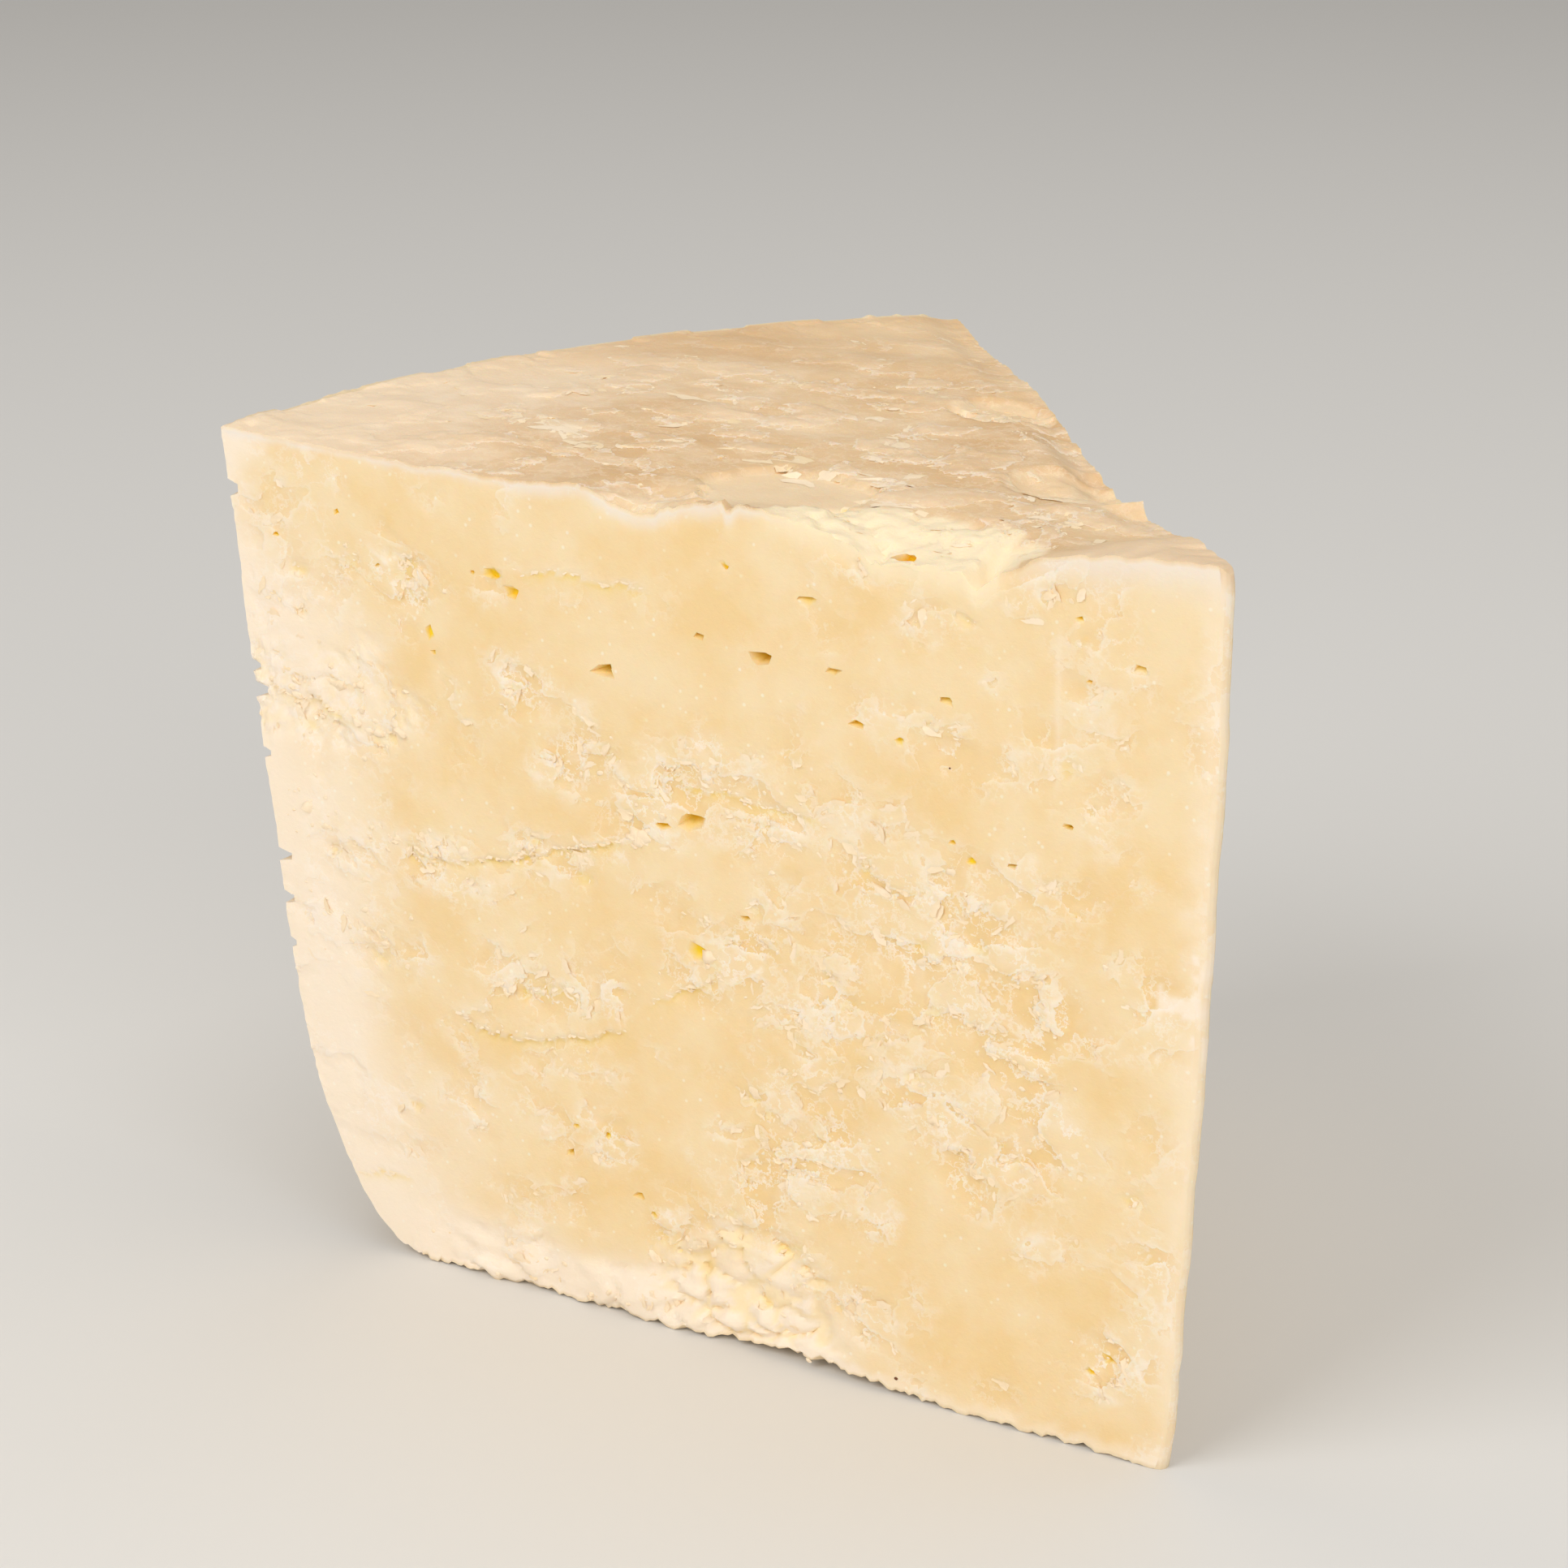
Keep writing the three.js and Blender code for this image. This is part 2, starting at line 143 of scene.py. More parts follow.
# Eyes of the paste are cut in while the cuts are still flat. An eye is an angular hollow that narrows
# inwards, given by distance from the tip, height, width and tallness. Notches nick the edge between the
# front cut and the rind, and are given by height, depth and tallness.
EYES = (
    (60.3, 100.8, 3.4, 2.0), (71.2, 76.2, 3.8, 2.2), (75.9, 75.0, 2.6, 0.9), (84.3, 95.3, 3.2, 2.4),
    (98.8, 103.7, 2.0, 1.7), (101.8, 105.5, 2.4, 1.8), (112.5, 95.4, 1.3, 2.6), (112.2, 92.6, 1.1, 0.9),
    (53.2, 109.7, 2.6, 1.2), (50.0, 100.8, 2.2, 1.2), (69.5, 102.2, 1.7, 1.0), (66.0, 112.3, 1.6, 0.9),
    (45.8, 94.5, 2.6, 0.9), (39.7, 93.2, 1.5, 1.2), (33.3, 99.6, 3.0, 1.2), (7.0, 108.4, 1.9, 1.0),
    (14.0, 105.8, 1.0, 0.7), (15.5, 112.5, 1.4, 0.7), (63.0, 64.2, 2.0, 1.3), (70.7, 58.2, 2.4, 2.1),
    (127.3, 110.5, 1.5, 1.0), (137.5, 105.6, 1.2, 0.8), (80.6, 19.3, 1.8, 1.2), (78.0, 16.5, 1.2, 1.2),
    (9.5, 14.0, 2.2, 1.4), (11.5, 11.8, 1.6, 1.1), (85.0, 27.0, 1.3, 1.0), (90.2, 27.2, 1.6, 1.0),
    (92.0, 23.2, 1.7, 1.1), (24.0, 79.5, 1.8, 0.9), (30.0, 79.0, 1.4, 1.2),
    (32.5, 81.0, 1.2, 1.0), (16.5, 86.5, 1.7, 0.8), (104.8, 105.2, 0.9, 0.7), (120.5, 103.4, 1.4, 0.9),
)
EYE_DEPTH = 1.5
EYE_MOUTH = 0.6
EYE_FLOOR = 0.2
EYE_UNEVEN = (0.45, 1.45)
TOP_EYE = Vector((-40.5, 0.6, HEIGHT))
TOP_EYE_SIZE = (4.2, 2.4)
NOTCHES = ((111.2, 1.9, 2.4), (85.8, 1.3, 1.6), (82.4, 2.2, 2.2), (73.2, 1.2, 1.6), (58.2, 2.6, 2.0),
           (51.8, 1.9, 2.0), (45.0, 1.1, 1.6))
NOTCH_LENGTH = 14.0
BACK_EYES = 26
BACK_EYE_WIDTH = (0.9, 3.2)
BACK_EYE_HEIGHT = (0.8, 1.9)
draw = random.Random(417)


def ramp(low, high, value):
    """0 below low, 1 above high, and a smooth rise between."""
    share = min(1.0, max(0.0, (value - low) / (high - low)))
    return share * share * (3 - 2 * share)


def clouds(x, y, size, octaves=3, layer=0.0):
    """Uneven noise of about -1 to 1, its largest lumps as wide as size. Each layer is its own pattern."""
    return noise.fractal((x / size, y / size, layer), 0.75, 2.1, octaves)


def drum_radius(up):
    """Radius of the drum at a height."""
    up = min(HEIGHT, max(0.0, up))
    into = max(0.0, 1 - up / FOOT_ROUND_HEIGHT)
    taper = DRUM_TAPER * (1 - up / HEIGHT)
    return WHEEL_RADIUS - taper - FOOT_ROUND_DEPTH * (1 - math.sqrt(max(0.0, 1 - into * into)))


def rind_at(up):
    """Distance from the tip to the rind along the front cut, at a height."""
    return drum_radius(up) - WHEEL_AXIS.x


def front_point(tip, up, out=0.0):
    """A point of the front cut's plane, or so far out from it, by distance from the tip and height."""
    return Vector((-tip, -FRONT_LEAN * up / HEIGHT, up)) + front_normal * out


def back_point(tip, up, out=0.0):
    """The same on the back cut."""
    return tip_foot + tip_way * (up / HEIGHT) + back_way * tip + back_normal * out


def take_up(piece):
    """Selects one piece alone and makes it the active one."""
    bpy.ops.object.select_all(action="DESELECT")
    piece.select_set(True)
    bpy.context.view_layer.objects.active = piece


def face_outwards(piece):
    """Turns all faces of a piece outwards."""
    take_up(piece)
    bpy.ops.object.mode_set(mode="EDIT")
    bpy.ops.mesh.select_all(action="SELECT")
    bpy.ops.mesh.normals_make_consistent(inside=False)
    bpy.ops.object.mode_set(mode="OBJECT")


def cut_out(cutter):
    """Takes the cutter's shape out of the chunk and removes the cutter."""
    face_outwards(cutter)
    hollow = chunk.modifiers.new("hollow", "BOOLEAN")
    hollow.operation = "DIFFERENCE"
    hollow.solver = "MANIFOLD"
    hollow.object = cutter
    bpy.context.view_layer.objects.active = chunk
    bpy.ops.object.modifier_apply(modifier=hollow.name)
    bpy.data.objects.remove(cutter)


def cut_eye(middle, along, inward, width, height):
    """Cuts one eye into a face: along is the face's level direction and inward goes into the paste."""
    bpy.ops.object.select_all(action="DESELECT")
    sides = draw.choice((4, 5, 6))
    bpy.ops.mesh.primitive_cone_add(vertices=sides, radius1=EYE_MOUTH, radius2=EYE_FLOOR, depth=2)
    eye = bpy.context.active_object
    for vertex in eye.data.vertices:
        vertex.co.x *= draw.uniform(*EYE_UNEVEN)
        vertex.co.y *= draw.uniform(*EYE_UNEVEN)
    eye.data.transform(Matrix.Rotation(draw.uniform(0, math.tau), 4, "Z"))
    # A wide eye goes deeper and a narrow one is shallow, and none goes in quite straight.
    deeper = 1.9 if width > 3 else 0.65 if width < 1.7 else 1.0
    aside = along * draw.uniform(-0.6, 0.6)
    rise = Vector((0, 0, draw.uniform(-0.2, 0.9)))
    slant = inward * EYE_DEPTH * deeper + aside + rise
    large = 1.1 if width > 2.9 else 1.3
    shape = Matrix((along * width * large, Vector((0, 0, height * large)), slant / 2)).transposed().to_4x4()
    eye.data.transform(Matrix.Translation(middle + slant / 2 - inward * 0.5) @ shape)
    cut_out(eye)


for tip, up, width, height in EYES:
    cut_eye(front_point(tip, up), Vector((1, 0, 0)), Vector((0, 1, 0)), width, height)
cut_eye(TOP_EYE, Vector((1, 0, 0)), Vector((0, 0.75, -0.65)), *TOP_EYE_SIZE)
for _ in range(BACK_EYES):
    middle = back_point(draw.uniform(12, 132), draw.uniform(12, 112))
    cut_eye(middle, back_way, -back_normal, draw.uniform(*BACK_EYE_WIDTH), draw.uniform(*BACK_EYE_HEIGHT))
for up, depth, height in NOTCHES:
    bpy.ops.object.select_all(action="DESELECT")
    bpy.ops.mesh.primitive_uv_sphere_add(segments=4, ring_count=2, radius=1)
    nick = bpy.context.active_object
    for vertex in nick.data.vertices:
        vertex.co = Vector((vertex.co.x * depth, vertex.co.y * NOTCH_LENGTH, vertex.co.z * height / 2))
    nick.data.transform(Matrix.Rotation(draw.uniform(-0.15, 0.15), 4, "X"))
    nick.data.transform(Matrix.Translation(front_point(rind_at(up), up)))
    cut_out(nick)

# The relief of the front cut, by distance from the tip and height. Seams of the pressed curd are steps
# with the upper side standing out. In the torn places the blade dragged thin films off the paste. The
# crag at the foot is deeper and broke away in soft lumps of curd. A torn place is given by its middle,
# half width, half height and how torn it is, and a calm one, where the cut is clean, by the first four.
SEAMS = (
    ((120, 64), (115, 63.2), (110, 63), (105, 64), (100, 65.5), (93, 68), (85, 70.5), (80, 72)),
    ((111, 39.5), (105, 39), (100, 38.5), (95, 39.5), (90, 41), (85, 43), (81, 45)),
    ((80, 48.2), (76, 50), (72, 52), (66, 55.5)),
    ((100, 106), (96, 107), (92, 107.5), (84, 107.2), (76, 107.8)),
    ((130, 11.5), (124, 12.3), (118, 12)),
    ((141, 84), (136, 82), (131, 82.4), (125, 80)),
    ((75, 80.5), (66, 81.5), (56, 80.6), (50, 80.2)),
)
SEAM_STEPS = (0.26, 0.28, 0.2, 0.1, 0.1, 0.22, 0.14)
TORN_PLACES = (
    (118, 103, 18, 4, 0.8),
    (129, 83, 16, 7, 1.0),
    (72, 80, 27, 8, 0.9),
    (113, 64, 9, 4, 1.0),
    (66, 57, 10, 8, 1.0),
    (34, 62, 24, 21, 0.9),
    (53, 35, 11, 13, 0.95),
    (24, 42, 14, 11, 0.9),
    (64, 14, 15, 12, 1.0),
    (9, 14, 7, 6, 1.0),
    (92, 27, 12, 5, 0.7),
    (95, 48, 13, 5, 0.8),
    (128, 50, 13, 6, 0.8),
    (122, 22, 11, 8, 0.6),
    (14, 104, 8, 4, 0.6),
    (3, 62, 5, 9, 0.6),
    (96, 90, 12, 5, 0.6),
    (40, 95, 14, 6, 0.5),
)
CALM_PLACES = (
    (70, 68.5, 13, 5), (28, 17, 20, 11), (88, 113, 46, 6), (76, 98, 24, 6), (103, 73, 14, 6),
)
CRAG_AT = (64, 9)
CRAG_REACH = (16, 10)
FOOT_LUMPS_START = (46, 56)
FOOT_LUMPS_END = (106, 120)
SCRATCH_AT = 18
SCRATCH_WIDTH = 0.5
FOLD_START = (106, 128)
FOLD_UP = 83


def seam_height(line, tip):
    """Height of a seam's wavering line at a distance from the tip."""
    for (a, c), (b, d) in zip(line, line[1:]):
        if b <= tip <= a:
            return c + (d - c) * (a - tip) / (a - b) + 0.9 * clouds(tip, c, 3.5, 3, 9.0)
    return None


def torn_share(tip, up):
    """How torn the front cut is at a place, from 0 to 1."""
    share = 0.34 + 0.35 * clouds(tip, up * 1.6, 30, 2, 15.0)
    for at, height, half_width, half_height, amount in TORN_PLACES:
        far = ((tip - at) / half_width) ** 2 + ((up - height) / half_height) ** 2
        if far < 1.8:
            share = max(share, amount * (1.25 - 0.7 * far))
    for at, height, half_width, half_height in CALM_PLACES:
        share -= 0.5 * max(0.0, 1 - ((tip - at) / half_width) ** 2 - ((up - height) / half_height) ** 2)
    return min(1.0, max(0.0, share + 0.8 * clouds(tip, up, 8, 3, 5.0) - 0.2))


def film_field(tip, up):
    """A field that is below 0 where the film of paste is still on, and above 0 where it was torn off."""
    across = tip + 3.0 * clouds(tip, up, 8, 2, 21.0)
    along = up + 2.0 * clouds(tip, up, 8, 2, 27.0)
    return clouds(across, along * 1.5, 9, 4, 11.0)


# Plucks are small pits at the edges of the films, where chips of paste came away.
PLUCKS = 90
plucks = []
while len(plucks) < PLUCKS:
    tip = draw.uniform(5, 141)
    up = draw.uniform(4, 116)
    inside = tip < rind_at(up) - 8
    if inside and torn_share(tip, up) > draw.uniform(0.25, 0.9) and abs(film_field(tip, up)) < 0.1:
        plucks.append((tip, up, draw.uniform(0.6, 1.5), draw.uniform(0.2, 0.5)))


def pluck_depth(tip, up):
    """How deep the plucks are at a place, in millimetres."""
    deepest = 0.0
    for at, height, radius, depth in plucks:
        if abs(tip - at) < 3 and abs(up - height) < 3:
            far = math.hypot((tip - at) / 1.4, up - height) / radius + 0.4 * clouds(tip, up, 1.6, 2, 35.0)
            deepest = max(deepest, depth * max(0.0, 1 - far * far))
    return deepest


def seam_ledge(tip, up):
    """The step at the seams in millimetres, how near a seam's lip is, and how near the shade under it."""
    height = lip = shade = 0.0
    for line, step in zip(SEAMS, SEAM_STEPS):
        at = seam_height(line, tip)
        if at is None or abs(up - at) > 14:
            continue
        over = up - at
        ends = ramp(0, 6, line[0][0] - tip) * ramp(0, 4, tip - line[-1][0])
        if over >= 0:
            height += ends * step * 0.8 * math.exp(-over / 3)
            lip = max(lip, ends * math.exp(-over / 0.8))
        else:
            height -= ends * step * 1.2 * math.exp(over / 3.5)
            shade = max(shade, ends * math.exp(over / 0.6))
    return height, lip, shade


def lumps(x, y, size, layer):
    """Rounded lumps with creases between them: 1 on a lump, 0 in a crease, and the lump's own height."""
    x += 0.4 * size * clouds(x, y, size, 2, layer + 1)
    y += 0.4 * size * clouds(x, y, size, 2, layer + 2)
    distances, points = noise.voronoi((x / size, y / size, layer))
    return ramp(0, 1, 1.8 * (distances[1] - distances[0])), noise.noise(points[0] * 7.3)


def front_surface(tip, up):
    """The front cut at a place: its height over the plane in millimetres, how white, how much painted amber
    shade and how torn.
    """
    height = 0.35 * clouds(tip, up, 46, 1) + 0.1 * clouds(tip, up, 14, 2, 2.0)
    white = 0.0
    painted_amber_shade = 0.0
    torn = torn_share(tip, up)
    if torn > 0:
        film = film_field(tip, up)
        height -= torn * (0.22 * ramp(-0.03, 0.05, film) + 0.2 * ramp(0.25, 0.33, film))
        height += torn * 0.1 * ramp(-0.2, -0.03, film) * (1 - ramp(-0.03, 0.03, film))
        height += torn * 0.1 * clouds(tip, up, 3, 2, 31.0)
        white += torn * 0.3 * ramp(0.05, 0.4, clouds(tip, up, 5, 3, 33.0))
        pluck = pluck_depth(tip, up)
        height -= pluck
        # Painted amber shade in the pits.
        painted_amber_shade += 0.3 * ramp(0.1, 0.5, pluck)
    ledge, lip, shade = seam_ledge(tip, up)
    height += ledge
    white += 0.4 * lip
    # Painted amber shadow just under each seam's step.
    painted_amber_shade += 0.45 * shade
    far = ((tip - CRAG_AT[0]) / CRAG_REACH[0]) ** 2 + ((up - CRAG_AT[1]) / CRAG_REACH[1]) ** 2
    if far < 1.5:
        share = ramp(0, 0.9, 1.2 - far + 0.6 * clouds(tip, up, 7, 3, 41.0))
        lump, own = lumps(tip, up * 1.15, 5.4, 43.0)
        small, tiny = lumps(tip, up, 2.6, 45.0)
        height += share * (-1.1 + 1.0 * lump + 1.1 * own + 0.2 * small + 0.25 * tiny)
        white += share * (0.5 + 0.5 * own)
        # Painted amber shade in the creases between the crag's lumps.
        painted_amber_shade += share * 0.24 * (1 - ramp(0, 0.25, lump))
        torn *= 1 - 0.8 * share
    rim = ramp(*FOOT_LUMPS_START, tip) * (1 - ramp(*FOOT_LUMPS_END, tip))
    rim *= 1 - ramp(3, 12, up + 4 * clouds(tip, up, 12, 2, 47.0))
    if rim > 0:
        lump, own = lumps(tip * 0.7, up, 5.5, 53.0)
        height += rim * (-0.6 + 0.9 * lump + 1.0 * own)
        white += 0.7 * rim
    scratch = math.exp(-(((tip - SCRATCH_AT) / SCRATCH_WIDTH) ** 2))
    white += 0.4 * ramp(88, 94, up) * (1 - ramp(108, 114, up)) * scratch
    fold = ramp(*FOLD_START, tip) * (1 - ramp(4, 11, abs(up - FOLD_UP)))
    if fold > 0:
        fold = ramp(0, 1, fold + 0.9 * clouds(tip, up, 6, 3, 57.0) - 0.2)
        lump, own = lumps(tip, up * 1.2, 3.4, 55.0)
        small, tiny = lumps(tip, up, 1.7, 56.0)
        height += fold * (-0.3 + 0.25 * lump + 0.6 * own + 0.1 * small + 0.4 * tiny)
        white += 0.4 * fold
        # Painted amber shade in the creases of the fold.
        painted_amber_shade += 0.12 * fold * (1 - ramp(0, 0.25, lump))
    return height, white, painted_amber_shade, torn


# The relief of the top, by the plan's x and y: slow waves, a lump at the tip, breaks along its edges,
# and thin dried plates that lift off each other. A break is given by distance from the tip, distance
# behind the front cut, half width, half depth and drop. The lines are the heights of the broken front and
# back edges, by distance from the tip. The tongue is where a sheet of the top came away.
TOP_BREAKS = (
    (42, 2, 21, 12, 1.0),
    (79, 0, 9, 6, 0.6),
    (33, 34, 11, 8, 2.0),
    (60, 63, 8, 6, 1.3),
)
EDGE_LINE = (
    (146, 119.9), (107.5, 118.8), (95.5, 119.3), (88, 120.2), (80.5, 117.8), (76, 118.3), (72, 120.1),
    (60, 121.1), (48, 119.7), (43, 116.8), (31.5, 117.7), (29.5, 115.4), (26, 118.4), (21, 120.4),
    (15.5, 121.7), (6, 122.8), (-2.5, 123.2), (-4.5, 121.9),
)
BACK_LINE = (
    (160, 119.4), (154, 119.2), (151, 118.2), (135, 117.6), (100, 119.3), (74, 117.1), (63, 117.5),
    (61, 116.3), (42, 119.6), (40, 117.6), (28, 119.0), (18, 121.6), (0, 121.9),
)
TIP_LUMP_REACH = 29
TIP_LUMP_HEIGHT = 3.0
TIP_CORNER_REACH = 7
TIP_CORNER_DROP = 3.2
TONGUE_AT = (-66, 12)
TONGUE_REACH = (11, 12.5)
TONGUE_DROP = 0.8
BACK_FILM_SHIFT = 400


def edge_height(line, tip):
    """Height of a broken edge of the top, by distance from the tip."""
    for (a, c), (b, d) in zip(line, line[1:]):
        if b <= tip <= a:
            return c + (d - c) * (a - tip) / (a - b) + 0.3 * clouds(tip, 0, 2.5, 3, 59.0)
    return HEIGHT


def wheel_distance(x, y):
    """Distance of a place on the top from the wheel's axis."""
    return math.hypot(x - WHEEL_AXIS.x, y - WHEEL_AXIS.y)


def top_ground(x, y):
    """The top's slow waves and the lump at its tip, over the plane in millimetres."""
    from_axis = wheel_distance(x, y)
    height = 0.9 * clouds(x, y, 42, 1, 61.0) + 0.22 * clouds(x, y, 14, 2, 63.0)
    height += 0.5 * abs(clouds(x, y * 1.8, 26, 2, 64.0)) - 0.4
    height += TIP_LUMP_HEIGHT * (1 - ramp(TIP_LUMP_REACH / 2, TIP_LUMP_REACH, from_axis))
    rim = 1 - ramp(0, 11, WHEEL_RADIUS - from_axis)
    nicks = 0.35 * ramp(-0.1, 0.1, clouds(x, y, 9, 3, 62.0)) - 0.35
    return height * (1 - 0.8 * rim) + nicks * rim


def break_depth(x, y):
    """How deep the breaks in the top are at a place, in millimetres."""
    deepest = 0.0
    for at, back, half_width, half_depth, drop in TOP_BREAKS:
        far = ((-x - at) / half_width) ** 2 + ((y - back) / half_depth) ** 2
        deepest = max(deepest, drop * math.sqrt(max(0.0, 1 - far)))
    return deepest


def plate_field(x, y):
    """A field that is below 0 on the top's dried plates and above 0 between them."""
    across = x + 2.4 * clouds(x, y, 7, 2, 67.0)
    along = y + 1.8 * clouds(x, y, 7, 2, 69.0)
    return 0.16 - clouds(across, along * 1.35, 11, 4, 71.0)


def tongue_share(x, y):
    """Where the smooth tongue is, in which a sheet of the top came away along the front edge."""
    far = ((x - TONGUE_AT[0]) / TONGUE_REACH[0]) ** 2 + ((y - TONGUE_AT[1]) / TONGUE_REACH[1]) ** 2
    return ramp(-0.06, 0.08, 1 - far + 0.8 * clouds(x, y, 10, 4, 79.0))


def top_surface(x, y):
    """The top at a place: its height over the plane in millimetres, how white (with painted light on the
    lump at the tip) and fresh, and how dried.
    """
    from_axis = wheel_distance(x, y)
    height = top_ground(x, y)
    front = 1 - ramp(0, 13, y + FRONT_LEAN)
    if front > 0:
        height += front * (edge_height(EDGE_LINE, -x) - HEIGHT - top_ground(x, -FRONT_LEAN))
    out = (Vector((x, y, 0)) - WHEEL_AXIS).dot(back_way)
    aside = (Vector((x, y, 0)) - WHEEL_AXIS - back_way * out).length
    back = (1 - ramp(0.5, 6, aside)) * (1 - front)
    if back > 0:
        height += back * (edge_height(BACK_LINE, out) - HEIGHT - height)
    height -= TIP_CORNER_DROP * (1 - ramp(0, TIP_CORNER_REACH, from_axis)) * (1 - front)
    broken = break_depth(x, y)
    if broken > 0:
        chip, own = lumps(x, y * 1.4, 8, 65.0)
        _, tiny = lumps(x, y * 1.3, 3.4, 66.0)
        height -= broken * 0.85 + ramp(0, 0.6, broken) * (0.9 * own - 0.3 * chip + 0.4 * tiny)
    tongue = tongue_share(x, y)
    height -= TONGUE_DROP * tongue
    dried = ramp(20, 36, from_axis) * (1 - 0.6 * ramp(118, 146, from_axis)) * (1 - 0.85 * tongue)
    dried *= 1 - 0.45 * ramp(50, 85, y)
    plate = plate_field(x, y)
    height += dried * (0.25 * (1 - ramp(-0.05, 0.03, plate)) + 0.22 * (1 - ramp(-0.36, -0.28, plate)))
    white = 0.25 * ramp(0.05, 0.45, clouds(x, y, 9, 4, 75.0)) * dried
    white += 0.3 * ramp(112, 140, from_axis) * (1 - ramp(40, 90, y))
    # The first term whitens the lump at the tip: painted light, where its top faces up and forward into the
    # light.
    white += 0.55 * (1 - ramp(14, 30, from_axis)) + 0.5 * ramp(85, 130, -x) * (1 - ramp(30, 70, y))
    cream = 1.0 if x > -62 and y < 14 else 0.4
    fresh = 0.45 * tongue + ramp(0.25, 0.6, broken + 0.3 * clouds(x, y, 5, 3, 77.0)) * cream
    return height, white * (1 - 0.7 * tongue), min(1.0, fresh), dried


def back_film(out, up):
    """The field of the films on the back cut."""
    return film_field(out + BACK_FILM_SHIFT, up)


def back_surface(out, up):
    """The hidden back cut at a place: its height over the plane in millimetres, and how torn."""
    torn = 0.35 + 0.8 * clouds(out, up * 1.3, 34, 2, 85.0) + 0.6 * clouds(out, up, 8, 3, 87.0)
    torn = min(1.0, max(0.0, torn))
    film = back_film(out, up)
    height = 0.35 * clouds(out, up, 46, 1, 81.0) + 0.1 * clouds(out, up, 14, 2, 83.0)
    height -= torn * (0.3 * ramp(-0.06, 0.1, film) + 0.3 * ramp(0.25, 0.4, film))
    return height, torn


def rind_relief(turn, up):
    """Height of the drum's rind over its circle, in millimetres, by the way round it and height."""
    return 0.5 * clouds(turn, up, 30, 2, 101.0) + 0.2 * clouds(turn, up * 2.2, 8, 3, 103.0)


# Every vertex is moved by the relief of the faces it lies on, and is marked with how the paste is
# there: white where it is dry, painted amber shade deep in holes and creases, and so on.
EDGE = 1.6
TOP_START = 0.9 * HEIGHT
TOOTH_REACH = 4
FOOT_GAP_AT = 54
FOOT_GAP_WIDTH = 13
FOOT_GAP_HEIGHT = 1.3
MARKS = ("white", "painted_amber_shade", "dry", "fresh", "rind", "torn", "film", "skin")
marks = {name: [] for name in MARKS}


def set_mark(mesh, name, values):
    """Marks each vertex of a mesh with a value that the paste reads."""
    mesh.attributes.new(name, "FLOAT", "POINT").data.foreach_set("value", values)


